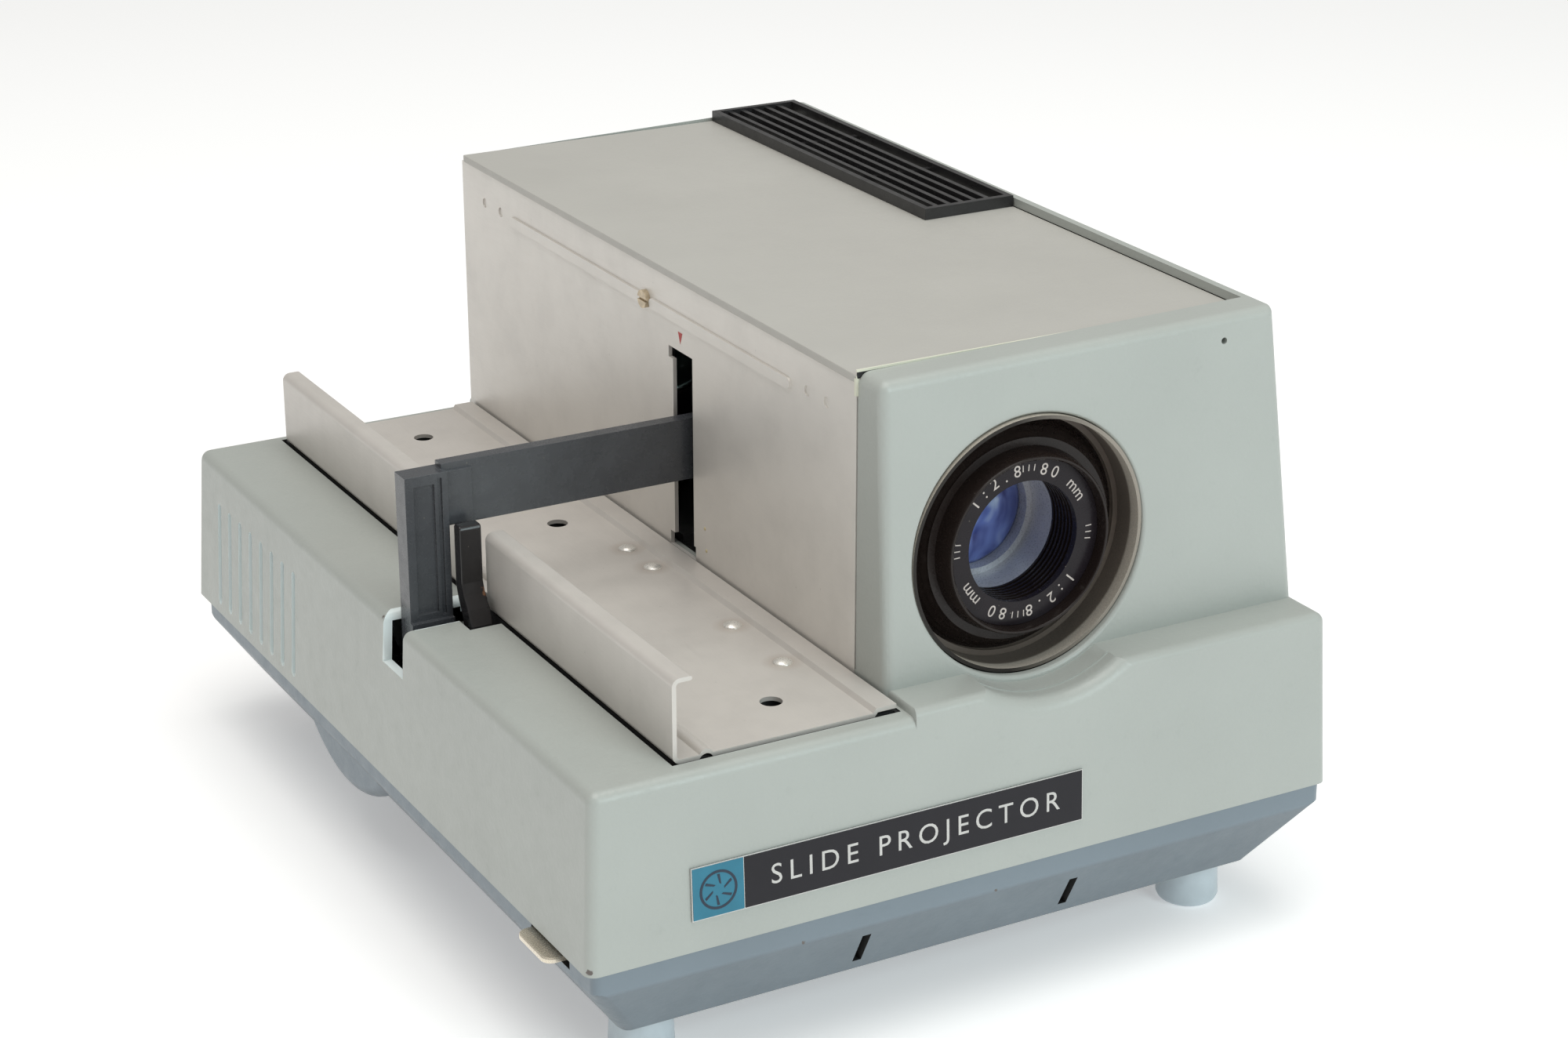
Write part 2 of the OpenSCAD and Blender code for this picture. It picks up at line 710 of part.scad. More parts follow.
module gate_condenser() {
    color([0.65, 0.72, 0.72, 0.5]) at_frame() along_y(axis_x, 138, axis_z)
        lens_glass(27, 8.5, 2, 1);
}

module condenser_ring() {
    color([0.55, 0.56, 0.57]) at_frame() difference() {
        union() {
            along_y(axis_x, 144, axis_z) cylinder(r = 29.5, h = 6.5);
            slab(axis_x - 14, axis_x + 14, 144, 150.5, bench_z, 56);
            slab(axis_x - 36, axis_x + 36, 144, 150.5, bench_z, bench_z + 2.5);
        }
        along_y(axis_x, 140, axis_z) cylinder(r = 27.05, h = 15);
    }
}

module fold_mirror() {
    color([0.85, 0.87, 0.88]) at_frame()
        translate([axis_x, lamp_y, axis_z]) rotate([0, 0, 45])
            translate([-34, 0, -27]) cube([68, 3, 54]);
}

module mirror_bracket() {
    color([0.58, 0.59, 0.60]) at_frame()
        translate([axis_x, lamp_y, axis_z]) rotate([0, 0, 45]) {
            translate([-30, 3.1, bench_z - axis_z]) cube([60, 2, 60]);
            translate([-30, 3.1, bench_z - axis_z]) cube([60, 16, 2]);
        }
}

module lamp_condenser() {
    color([0.65, 0.72, 0.72, 0.5]) at_frame() along_x(163, lamp_y, axis_z)
        lens_glass(21, 1, 3, 8);
}

module heat_filter() {
    color([0.55, 0.78, 0.75, 0.5]) at_frame()
        slab(179, 182, lamp_y - 22, lamp_y + 22, axis_z - 22, axis_z + 22);
}

module filter_holder() {
    color([0.58, 0.59, 0.60]) at_frame() difference() {
        union() {
            slab(164, 170.5, lamp_y - 26, lamp_y + 26, bench_z, axis_z + 25);
            slab(176.6, 184.4, lamp_y - 26, lamp_y + 26, bench_z, axis_z + 18);
            slab(164, 184.4, lamp_y - 26, lamp_y - 24, bench_z, bench_z + 14);
            slab(164, 184.4, lamp_y + 24, lamp_y + 26, bench_z, bench_z + 14);
        }
        along_x(160, lamp_y, axis_z) cylinder(r = 21.05, h = 12);
        slab(178.95, 182.05, lamp_y - 22.05, lamp_y + 22.05, axis_z - 22.05, axis_z + 30);
        slab(175, 186, lamp_y - 19, lamp_y + 19, axis_z - 19, axis_z + 30);
    }
}

module lamp_bulb() {
    color([0.80, 0.84, 0.86, 0.5]) at_frame() translate([lamp_x, lamp_y, 0]) {
        rotate_extrude() polygon([[0, 61], [4.6, 61], [5.6, 66], [6, 72], [6, 94], [4.2, 98.5], [0, 100]]);
        for (dy = [-3.2, 3.2])
            translate([0, dy, 53]) cylinder(r = 0.65, h = 9);
    }
}

module lamp_socket() {
    color([0.86, 0.84, 0.78]) at_frame() difference() {
        union() {
            slab(lamp_x - 7, lamp_x + 7, lamp_y - 9, lamp_y + 9, bench_z + 1.1, 60.8);
            slab(lamp_x - 7, lamp_x + 7, lamp_y - 22, lamp_y + 22, bench_z, bench_z + 4);
        }
        for (dy = [-3.2, 3.2])
            translate([lamp_x, lamp_y + dy, 52]) cylinder(r = 0.75, h = 12);
    }
}

module reflector() {
    color([0.85, 0.85, 0.86]) at_frame() along_x(lamp_x + 8, lamp_y, axis_z) {
        intersection() {
            difference() {
                translate([0, 0, -16]) sphere(r = 27);
                translate([0, 0, -16]) sphere(r = 25.6);
            }
            cylinder(r = 20, h = 12);
        }
    }
}

module reflector_bracket() {
    color([0.58, 0.59, 0.60]) at_frame() {
        slab(212.5, 214, lamp_y - 7, lamp_y + 7, bench_z, axis_z - 5.5);
        slab(206, 214, lamp_y - 7, lamp_y + 7, bench_z, bench_z + 2);
    }
}

module fan_housing() {
    color([0.16, 0.16, 0.17]) at_frame() difference() {
        union() {
            along_x(fan_x, fan_y, fan_z) cylinder(r = fan_r, h = 36);
            slab(fan_x, fan_x + 36, fan_y, fan_y + 44, fan_z + 7, fan_z + fan_r);
            // foot on the pan
            slab(fan_x + 4, fan_x + 32, fan_y - fan_r - 4.5, fan_y - fan_r + 5, pan_floor,
                pan_floor + 3.4);
            slab(fan_x + 4, fan_x + 32, fan_y - fan_r + 1, fan_y - fan_r + 5, pan_floor, 3);
        }
        along_x(fan_x + 2, fan_y, fan_z) cylinder(r = fan_r - 2, h = 32);
        slab(fan_x + 2, fan_x + 34, fan_y, fan_y + 46, fan_z + 9, fan_z + fan_r - 2);
        along_x(fan_x - 1, fan_y, fan_z) cylinder(r = 18, h = 6);
        along_x(fan_x + 30, fan_y, fan_z) cylinder(r = 5, h = 10);
    }
}

module fan_impeller() {
    tip_r = fan_r - 4.5;
    color([0.25, 0.25, 0.26]) at_frame() along_x(fan_x + 4, fan_y, fan_z) {
        difference() {
            union() {
                translate([0, 0, 26]) cylinder(r = tip_r, h = 1.5);
                cylinder(r = 6, h = 27.5);
            }
            translate([0, 0, -1]) cylinder(r = 2.05, h = 30);
        }
        difference() {
            cylinder(r = tip_r, h = 1.5);
            translate([0, 0, -1]) cylinder(r = tip_r - 7, h = 4);
        }
        for (i = [0 : 23])
            rotate([0, 0, 15 * i]) translate([tip_r - 6.5, -0.6, 1]) cube([6.2, 1.2, 25.5]);
    }
}

module fan_shaft() {
    color([0.66, 0.66, 0.66]) at_frame() along_x(fan_x + 3, fan_y, fan_z) {
        cylinder(r = 2, h = 76);
        translate([0, 0, motor_x - fan_x - 2.5]) cylinder(r = 11.6, h = 17);
    }
}

module motor_core() {
    color([0.40, 0.40, 0.41]) at_frame() difference() {
        slab(motor_x, motor_x + 18, fan_y - 22, fan_y + 22, fan_z - 20, fan_z + 30);
        along_x(motor_x - 6, fan_y, fan_z) cylinder(r = 12, h = 30);
        slab(motor_x - 6, motor_x + 24, fan_y - 12, fan_y - 4, fan_z + 14, fan_z + 26);
        slab(motor_x - 6, motor_x + 24, fan_y + 4, fan_y + 12, fan_z + 14, fan_z + 26);
    }
}

module motor_coil() {
    color([0.62, 0.34, 0.14]) at_frame() difference() {
        slab(motor_x - 5, motor_x + 23, fan_y - 11.8, fan_y + 11.8, fan_z + 14.2, fan_z + 25.8);
        slab(motor_x - 0.1, motor_x + 18.1, fan_y - 4.1, fan_y + 4.1, fan_z + 10, fan_z + 30);
    }
}

module motor_bracket() {
    color([0.58, 0.59, 0.60]) at_frame() difference() {
        union() {
            slab(motor_x - 8, motor_x - 6, fan_y - 22.1, fan_y + 22.1, fan_z - 13, fan_z + 13);
            slab(motor_x + 25, motor_x + 27, fan_y - 22.1, fan_y + 22.1, pan_floor, fan_z + 13);
            slab(motor_x - 8, motor_x + 27, fan_y - 26, fan_y - 22.1, pan_floor, fan_z + 13);
            slab(motor_x - 8, motor_x + 27, fan_y + 22.1, fan_y + 26, pan_floor, fan_z + 13);
            slab(motor_x - 6, motor_x + 27, fan_y - 26, fan_y + 26, pan_floor, pan_floor + 2);
        }
        along_x(motor_x - 16, fan_y, fan_z) cylinder(r = 2.05, h = 50);
    }
}

module transformer_core() {
    color([0.34, 0.34, 0.35]) at_frame() difference() {
        slab(126, 196, 196, 240, pan_floor, 34);
        for (x = [137, 173.5])
            slab(x, x + 11.5, 190, 250, -11, 22);
    }
}

module transformer_coil() {
    color([0.72, 0.58, 0.25]) at_frame() difference() {
        slab(137.2, 184.8, 184, 252, -10.8, 21.8);
        slab(148.4, 173.6, 195.9, 240.1, -12, 23);
    }
}

module terminal_strip() {
    color([0.85, 0.83, 0.78]) at_frame() difference() {
        slab(107, 121, 208, 240, pan_floor, -pan_h + 16);
        for (i = [0 : 3])
            translate([114, 212.5 + 7.7 * i, -pan_h + 10]) cylinder(r = 2.2, h = 8);
    }
}

module mains_inlet() {
    color([0.05, 0.05, 0.05]) at_frame() difference() {
        union() {
            around(inlet_x, inlet_z, 27, 19, body_d - 22, body_d + 0.5);
            around(inlet_x, inlet_z, 38, 26, seat_y + 0.02, body_d + 1.2);
        }
        around(inlet_x, inlet_z, 22, 14, body_d - 17, body_d + 3);
        for (p = pins)
            around(p[0], p[1], 2.02, 4.02, body_d - 30, body_d - 16);
    }
}

module inlet_pins() {
    color([0.78, 0.70, 0.42]) at_frame() {
        for (p = pins)
            around(p[0], p[1], 2, 4, body_d - 26, body_d - 6);
    }
}

module fuse_cap() {
    color([0.05, 0.05, 0.05]) at_frame() difference() {
        union() {
            along_y(fuse_x, body_d - 28, rear_z) cylinder(r = 6, h = 28);
            along_y(fuse_x, body_d - 0.6, rear_z) cylinder(r = 7.6, h = cap_out + 0.6);
        }
        around(fuse_x, rear_z, 12, 1.6, body_d + 2.6, body_d + 5);
    }
}

module switch_body() {
    color([0.06, 0.06, 0.06]) at_frame() difference() {
        union() {
            around(switch_x, rear_z, 14, 21, body_d - 24, body_d + 0.5);
            around(switch_x, rear_z, 18, 25, seat_y + 0.02, body_d + 1);
        }
        around(switch_x, rear_z, 11.2, 18.4, body_d - 7, body_d + 3);
        along_x(switch_x - 6.5, body_d - 1, rear_z) cylinder(r = 1.25, h = 13);
    }
}

module switch_rocker() {
    color([0.10, 0.10, 0.10]) at_frame() {
        translate([switch_x - 5.2, 0, 0]) rotate([90, 0, 90]) linear_extrude(10.4)
            polygon([[body_d - 5, 15], [body_d - 5, 27], [body_d + 0.2, 29.2], [body_d + 1.2, 29.2],
                [body_d + 0.6, 21], [body_d + 3.4, 13.4], [body_d + 2.6, 12.9],
                [body_d - 2, 12.9]]);
        along_x(switch_x - 6.3, body_d - 1, rear_z) cylinder(r = 1.2, h = 12.6);
    }
}

base_pan();
housing();
wall_plate();
tray_channel();
channel_rivets();
plate_screw();
nameplate();
front_feet();
foot_crossbar();
foot_guides();
rear_feet();
release_tab();
pan_screws();
cover_plate();
cover_grille();
changer_handle();
changer_bar();
bar_guides();
transport_lever();
lever_bracket();
lens_sleeve();
sleeve_clamp();
focus_nut();
focus_tube();
lens_barrel();
name_ring();
lens_baffle();
lens_cell();
front_element();
middle_element();
rear_element();
optical_bench();
gate_front();
gate_rear();
gate_spring();
gate_condenser();
condenser_ring();
fold_mirror();
mirror_bracket();
lamp_condenser();
heat_filter();
filter_holder();
lamp_bulb();
lamp_socket();
reflector();
reflector_bracket();
fan_housing();
fan_impeller();
fan_shaft();
motor_core();
motor_coil();
motor_bracket();
transformer_core();
transformer_coil();
terminal_strip();
mains_inlet();
inlet_pins();
fuse_cap();
switch_body();
switch_rocker();
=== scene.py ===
"""Looks of the slide projector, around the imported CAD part.

Places on the object are in millimetres, measured as in the part: x from the left side,
y from the front, z from the bottom edge of the upper housing.
"""
import json
import math
import bmesh
import bpy
from mathutils import Matrix
from mathutils import Vector


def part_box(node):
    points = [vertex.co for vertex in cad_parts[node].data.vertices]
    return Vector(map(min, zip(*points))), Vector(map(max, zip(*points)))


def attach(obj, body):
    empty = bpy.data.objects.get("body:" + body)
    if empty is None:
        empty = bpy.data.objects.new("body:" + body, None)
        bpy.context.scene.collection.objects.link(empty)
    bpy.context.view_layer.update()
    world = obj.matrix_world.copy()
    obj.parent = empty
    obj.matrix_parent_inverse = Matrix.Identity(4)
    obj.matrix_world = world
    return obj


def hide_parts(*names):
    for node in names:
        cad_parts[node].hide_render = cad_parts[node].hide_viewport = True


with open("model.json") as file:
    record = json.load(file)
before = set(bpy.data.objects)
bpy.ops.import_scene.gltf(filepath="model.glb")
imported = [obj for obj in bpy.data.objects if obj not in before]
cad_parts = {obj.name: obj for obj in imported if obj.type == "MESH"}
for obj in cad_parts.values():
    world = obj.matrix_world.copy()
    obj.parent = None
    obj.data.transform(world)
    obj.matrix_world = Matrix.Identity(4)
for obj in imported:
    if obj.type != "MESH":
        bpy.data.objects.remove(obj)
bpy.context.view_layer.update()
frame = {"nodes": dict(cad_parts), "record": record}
NODES = frame["nodes"]
MM = 0.001

# housing
BODY_W = 225.0
BODY_D = 282.0
SHELF = 48.0
LEDGE = 50.3
HOOD_TOP = 134.0
HOOD_X = 91.9
HOOD_Y = 15.5
HOOD_W = 130.8
HOOD_D = 263.7
LEAN_SIDE = 9.6
LEAN_FRONT = 4.3
LEAN_BACK = 4.0
HOOD_FOOT = SHELF - 6
LOW_LEFT = 1.3
LOW_RIGHT = 2
LOW_FRONT = 2.4
LOW_BACK = 2.3
WALL = 2.5
LEFT_OUT = 1.4
EDGE_R = 3.0
COVER_Z = 131.4
HOOD_FALL = 1.8
COVER_RIGHT = 209.75
COVER_Y = (30.6, 274.6)
NOTCH_Y = (117.3, 131)
NOTCH_X = (-3, 27.2)
NOTCH_FLOOR = 34

# vents: how many, first place, pitch, width, lowest and highest point
SIDE_VENTS = (8, 199, 8.93, 2.8, 3, 36)
REAR_VENTS = (9, 112, 10, 3, 78, 118)

# tray channel
FLOOR_Z = 48.8
SHEET = 1.2
CHAN_Y = (9.2, 274.0)
FLANGE_X = 27.2
FLANGE_TOP = 70.6
FLANGES = ((9.2, 119.5), (135.0, 272.0))
LIP_W = 5.6
STRIP_X = (84.3, 91.1)
BEAD_X = 36.5
RIVETS = (48.2, 76.0, 123.5, 139.4)

# base pan
PAN_H = 25.0
BAND_H = 7.0
PAN_X = (0.8, 224.3)
PAN_Y = (1.8, 279.0)
PAN_LEAN = (12.7, 16.8, 9.5, 10.0)
BULGE_Y = 172.0
BULGE_Z = 23.5
BULGE_R = 46.0
PAN_R = 3.5
PAN_SKIN = 2
SCREWS = ((24, 60), (24, 262), (200, 50), (200, 246))
FOOT_X = (26, 199)
FOOT_Y = 27.0

# optics
AXIS_X = 136.0
AXIS_Z = 81.5
HOLE_R = 35.5
RING_FACE = 20.9
CHANNEL_HOLES = ((65.5, 253.5), (70.7, 166.9), (65.2, 28.2))

# nameplate
PLATE_X = (27.3, 143.2)
PLATE_Z = (8.5, 23.0)
PLATE_TILT = -2.74
SQUARE_W = 14.9

ORIGIN = Vector((
    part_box("housing")[0].x + LEFT_OUT * MM,
    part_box("housing")[0].y,
    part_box("base_pan")[0].z + PAN_H * MM,
))


# ---------------------------------------------------------------- geometry

def at(x, y, z):
    """The point of the row frame that these millimetres name."""
    return ORIGIN + Vector((x, y, z)) * MM


def new_object(name, mesh):
    obj = bpy.data.objects.new(name, mesh)
    bpy.context.scene.collection.objects.link(obj)
    return obj


def solid(name, points, faces):
    """A closed mesh from points in millimetres."""
    mesh = bpy.data.meshes.new(name)
    mesh.from_pydata([at(*p) for p in points], [], faces)
    tidy = bmesh.new()
    tidy.from_mesh(mesh)
    bmesh.ops.recalc_face_normals(tidy, faces=tidy.faces)
    tidy.to_mesh(mesh)
    tidy.free()
    return new_object(name, mesh)


def leaning(name, x, y, z, left=0, right=0, front=0, back=0):
    """A box between pairs of planes, whose walls lean in by these amounts at its top."""
    points = [(x[0], y[0], z[0]), (x[1], y[0], z[0]), (x[1], y[1], z[0]), (x[0], y[1], z[0])]
    points += [(x[0] + left, y[0] + front, z[1]), (x[1] - right, y[0] + front, z[1])]
    points += [(x[1] - right, y[1] - back, z[1]), (x[0] + left, y[1] - back, z[1])]
    faces = [(0, 1, 2, 3), (4, 5, 6, 7), (0, 1, 5, 4), (1, 2, 6, 5), (2, 3, 7, 6), (3, 0, 4, 7)]
    return solid(name, points, faces)


def slab(x0, x1, y0, y1, z0, z1, name="slab"):
    return leaning(name, (x0, x1), (y0, y1), (z0, z1))


def prism(name, outline, axis, start, end):
    """A flat outline swept along an axis. The outline gives the other two axes in order."""
    count = len(outline)
    points = []
    for along in (start, end):
        for u, v in outline:
            point = {"x": (along, u, v), "y": (u, along, v), "z": (u, v, along)}[axis]
            points.append(point)
    faces = [tuple(range(count)), tuple(range(count, 2 * count))]
    for i in range(count):
        j = (i + 1) % count
        faces.append((i, j, j + count, i + count))
    return solid(name, points, faces)


def turned(name, profile, centre, direction, steps=96):
    """A closed solid of revolution from (radius, distance) pairs along a direction."""
    turn = Vector(direction).to_track_quat("Z", "Y").to_matrix()
    points = []
    rings = []
    for radius, along in profile:
        ring = []
        for i in range(steps if radius > 0 else 1):
            angle = 2 * math.pi * i / steps
            local = Vector((radius * math.cos(angle), radius * math.sin(angle), along))
            ring.append(len(points))
            points.append(tuple(Vector(centre) + turn @ local))
        rings.append(ring)
    faces = []
    for low, high in zip(rings, rings[1:]):
        for i in range(steps):
            j = (i + 1) % steps
            corners = [low[i % len(low)], low[j % len(low)], high[j % len(high)], high[i % len(high)]]
            face = tuple(dict.fromkeys(corners))
            if len(face) > 2:
                faces.append(face)
    return solid(name, points, faces)


def rod(axis, centre, radius, start, end, name="rod"):
    """A plain cylinder. The centre gives the other two axes in order."""
    u, v = centre
    places = {"x": ((0, u, v), (1, 0, 0)), "y": ((u, 0, v), (0, 1, 0)), "z": ((u, v, 0), (0, 0, 1))}
    middle, direction = places[axis]
    profile = [(0, start), (radius, start), (radius, end), (0, end)]
    return turned(name, profile, middle, direction, 64)


def arc(centre, radius, begin, end, steps=6):
    """Points of an arc, with its angles in degrees."""
    angles = [math.radians(begin + (end - begin) * i / steps) for i in range(steps + 1)]
    return [(centre[0] + radius * math.cos(a), centre[1] + radius * math.sin(a)) for a in angles]


def slot_outline(middle, width, low, high):
    """An upright slot with round ends."""
    radius = width / 2
    top = arc((middle, high - radius), radius, 0, 180)
    bottom = arc((middle, low + radius), radius, 180, 360)
    return top + bottom


def edge_strip(axis, start, end, corner, out_u, out_v, radius):
    """What is cut away from a square edge to round it. out_u and out_v point out of the body."""
    centre = (corner[0] - out_u * radius, corner[1] - out_v * radius)
    curve = []
    for i in range(7):
        angle = math.radians(15 * i)
        u = centre[0] + out_u * radius * math.cos(angle)
        curve.append((u, centre[1] + out_v * radius * math.sin(angle)))
    over = 0.4
    outer = [(centre[0], corner[1] + out_v * over), (corner[0] + out_u * over, corner[1] + out_v * over)]
    outer.append((corner[0] + out_u * over, centre[1]))
    return prism("strip", curve + outer, axis, start, end)


def lip(radius, centre, tilt, size, depth):
    """Cutter of a hole whose mouth is rounded, square to a face that leans back by tilt degrees."""
    lean = math.radians(tilt)
    direction = (0, math.cos(lean), -math.sin(lean))
    mouth = [(radius + size - size * math.sin(t), size - size * math.cos(t))
             for t in [math.radians(15 * i) for i in range(7)]]
    profile = [(0, -3), (radius + size, -3)] + mouth + [(radius, depth), (0, depth)]
    return turned("lip", profile, centre, direction, 160)


def bake(obj):
    """Turns the object's modifiers into mesh."""
    bpy.context.view_layer.update()
    graph = bpy.context.evaluated_depsgraph_get()
    mesh = bpy.data.meshes.new_from_object(obj.evaluated_get(graph))
    obj.modifiers.clear()
    obj.data = mesh
    return obj


def round_edges(obj, radius, weigh, segments=6):
    """Rounds edges. weigh(a, b) gives the share of the radius for the edge between two points in mm."""
    mesh = obj.data
    weights = mesh.attributes.new("bevel_weight_edge", "FLOAT", "EDGE")
    for edge in mesh.edges:
        ends = [(mesh.vertices[i].co - ORIGIN) / MM for i in edge.vertices]
        weights.data[edge.index].value = weigh(*ends)
    bevel = obj.modifiers.new("round", "BEVEL")
    bevel.limit_method = "WEIGHT"
    bevel.width = radius * MM
    bevel.segments = segments
    return bake(obj)


def combine(obj, others, operation, material=None):
    """Adds other solids to obj, cuts them from it or keeps what they share."""
    for other in others:
        if material and not other.data.materials:
            other.data.materials.append(material)
        boolean = obj.modifiers.new(operation, "BOOLEAN")
        boolean.operation = operation
        boolean.solver = "EXACT"
        boolean.material_mode = "TRANSFER"
        boolean.object = other
    bake(obj)
    for other in others:
        bpy.data.objects.remove(other)
    return obj


def smooth(obj, angle=32):
    """Smooth shading that keeps flat faces flat."""
    for face in obj.data.polygons:
        face.use_smooth = True
    obj.data.set_sharp_from_angle(angle=math.radians(angle))
    weighted = obj.modifiers.new("normals", "WEIGHTED_NORMAL")
    weighted.keep_sharp = True
    return obj


def settle(obj, slot, body, *replaced):
    """Says what a finished piece rides on and hides the nodes it stands for; the slot argument is not used.
    """
    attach(obj, body)
    if replaced:
        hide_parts(*replaced)
    return obj


# --------------------------------------------------------------- materials

def tone(red, green, blue):
    """A linear colour from its 0 to 255 values."""
    values = [v / 255 for v in (red, green, blue)]
    linear = [v / 12.92 if v < 0.04 else ((v + 0.055) / 1.055) ** 2.4 for v in values]
    return (*linear, 1.0)


def shade(colour, share):
    """The same colour, lighter or darker."""
    return (colour[0] * share, colour[1] * share, colour[2] * share, 1.0)


def start(name):
    """A new material with its node tree and main shader."""
    material = bpy.data.materials.new(name)
    material.use_nodes = True
    tree = material.node_tree
    return material, tree, tree.nodes["Principled BSDF"]


def place(tree, stretch=(1, 1, 1)):
    """Coordinates on the object, stretched for brushed or drawn surfaces."""
    source = tree.nodes.new("ShaderNodeTexCoord")
    mapping = tree.nodes.new("ShaderNodeMapping")
    mapping.inputs["Scale"].default_value = stretch
    tree.links.new(source.outputs["Object"], mapping.inputs["Vector"])
    return mapping.outputs["Vector"]


def noise(tree, where, size, detail=2.0, rough=0.5):
    """Noise whose features are about size millimetres across."""
    node = tree.nodes.new("ShaderNodeTexNoise")
    node.inputs["Scale"].default_value = 1 / (size * MM)
    node.inputs["Detail"].default_value = detail
    node.inputs["Roughness"].default_value = rough
    tree.links.new(where, node.inputs["Vector"])
    return node.outputs[0]


def cells(tree, where, size):
    """Distance to the nearest of scattered points about size millimetres apart."""
    node = tree.nodes.new("ShaderNodeTexVoronoi")
    node.inputs["Scale"].default_value = 1 / (size * MM)
    tree.links.new(where, node.inputs["Vector"])
    return node.outputs["Distance"]


def ramp(tree, factor, *stops):
    """A colour ramp through (position, colour) stops."""
    node = tree.nodes.new("ShaderNodeValToRGB")
    elements = node.color_ramp.elements
    while len(elements) < len(stops):
        elements.new(0.5)
    for element, (position, colour) in zip(elements, stops):
        element.position = position
        element.color = colour
    tree.links.new(factor, node.inputs["Fac"])
    return node.outputs["Color"]


def spread(tree, factor, low, high, at_low=0.3, at_high=0.7):
    """Maps a noise onto a range of values."""
    node = tree.nodes.new("ShaderNodeMapRange")
    node.inputs["From Min"].default_value = at_low
    node.inputs["From Max"].default_value = at_high
    node.inputs["To Min"].default_value = low
    node.inputs["To Max"].default_value = high
    tree.links.new(factor, node.inputs["Value"])
    return node.outputs["Result"]


def blend(tree, factor, below, above):
    """Lays one colour over another where factor is 1."""
    node = tree.nodes.new("ShaderNodeMix")
    node.data_type = "RGBA"
    tree.links.new(factor, node.inputs[0])
    tree.links.new(below, node.inputs[6])
    if isinstance(above, tuple):
        node.inputs[7].default_value = above
    else:
        tree.links.new(above, node.inputs[7])
    return node.outputs[2]


def bump(tree, height, depth, below=None):
    """Bump of depth millimetres, on top of another one if given."""
    node = tree.nodes.new("ShaderNodeBump")
    node.inputs["Strength"].default_value = 1.0
    node.inputs["Distance"].default_value = depth * MM
    tree.links.new(height, node.inputs["Height"])
    if below:
        tree.links.new(below, node.inputs["Normal"])
    return node.outputs["Normal"]


def spot(tree, where, point, size):
    """1 within a ragged patch of about size millimetres around a point."""
    distance = tree.nodes.new("ShaderNodeVectorMath")
    distance.operation = "DISTANCE"
    tree.links.new(where, distance.inputs[0])
    distance.inputs[1].default_value = at(*point)
    ragged = tree.nodes.new("ShaderNodeMath")
    ragged.operation = "MULTIPLY_ADD"
    tree.links.new(noise(tree, where, size * 0.8, 3), ragged.inputs[0])
    ragged.inputs[1].default_value = size * 1.6 * MM
    tree.links.new(distance.outputs["Value"], ragged.inputs[2])
    return spread(tree, ragged.outputs["Value"], 1, 0, size * 1.25 * MM, size * 1.45 * MM)


def finish(name, colour, rough, metal=0.0, mottle=0.05, patch=20, grain=0.02, grain_size=0.5,
           stretch=(1, 1, 1), vary=0.06, specular=0.5):
    """The common finish: mottled colour, uneven roughness and a fine grain."""
    material, tree, shader = start(name)
    where = place(tree)
    clouds = noise(tree, where, patch, 3)
    tint = ramp(tree, clouds, (0.3, shade(colour, 1 - mottle)), (0.7, shade(colour, 1 + mottle)))
    tree.links.new(tint, shader.inputs["Base Color"])
    fine = noise(tree, place(tree, stretch), grain_size, 2)
    tree.links.new(spread(tree, fine, rough - vary, rough + vary), shader.inputs["Roughness"])
    tree.links.new(bump(tree, fine, grain), shader.inputs["Normal"])
    shader.inputs["Metallic"].default_value = metal
    shader.inputs["Specular IOR Level"].default_value = specular
    return material


def enamel(name, colour, peel=0.05, chips=(), chip_colour=(0.13, 0.11, 0.10, 1), rough=0.36):
    """Stove enamel: orange peel, faint clouds, and chips at (point, size) places."""
    material, tree, shader = start(name)
    where = place(tree)
    clouds = noise(tree, where, 45, 3)
    tint = ramp(tree, clouds, (0.3, shade(colour, 0.97)), (0.7, shade(colour, 1.03)))
    grime = noise(tree, where, 5, 4, 0.7)
    tint = blend(tree, spread(tree, grime, 0, 0.25, 0.62, 0.8), tint, shade(colour, 0.8))
    for point, size in chips:
        tint = blend(tree, spot(tree, where, point, size), tint, chip_colour)
    tree.links.new(tint, shader.inputs["Base Color"])
    tree.links.new(spread(tree, grime, rough - 0.05, rough + 0.1), shader.inputs["Roughness"])
    orange_peel = noise(tree, where, 1.3, 1)
    tree.links.new(bump(tree, orange_peel, peel), shader.inputs["Normal"])
    return material


def housing_enamel():
    chips = (((-0.6, 1.0, 1.4), 1.5), ((0.7, 132.6, 47), 2.2), ((0.8, 76, 47), 2.0))
    chips += (((224.6, 1.5, 1.0), 1.4), ((209.5, 21, 131.5), 0.8), ((94.5, 18, 50.5), 0.6))
    return enamel("housing_enamel", tone(171, 175, 170), peel=0.085, chips=chips)


def pan_enamel():
    chips = (((13.2, 11.2, -24.6), 1.8), ((207.2, 11.4, -24.7), 1.5), ((1.4, 2.2, -6.8), 1.1))
    chips += (((222.8, 2.6, -7), 0.9), ((60, 1.8, -6.9), 0.8), ((118, 1.9, -7), 0.7))
    material = enamel("pan_enamel", tone(120, 132, 141), peel=0.04, chips=chips)
    # The faces of the pan that look down get painted shade.
    return painted_shade_below(material, 0.62)


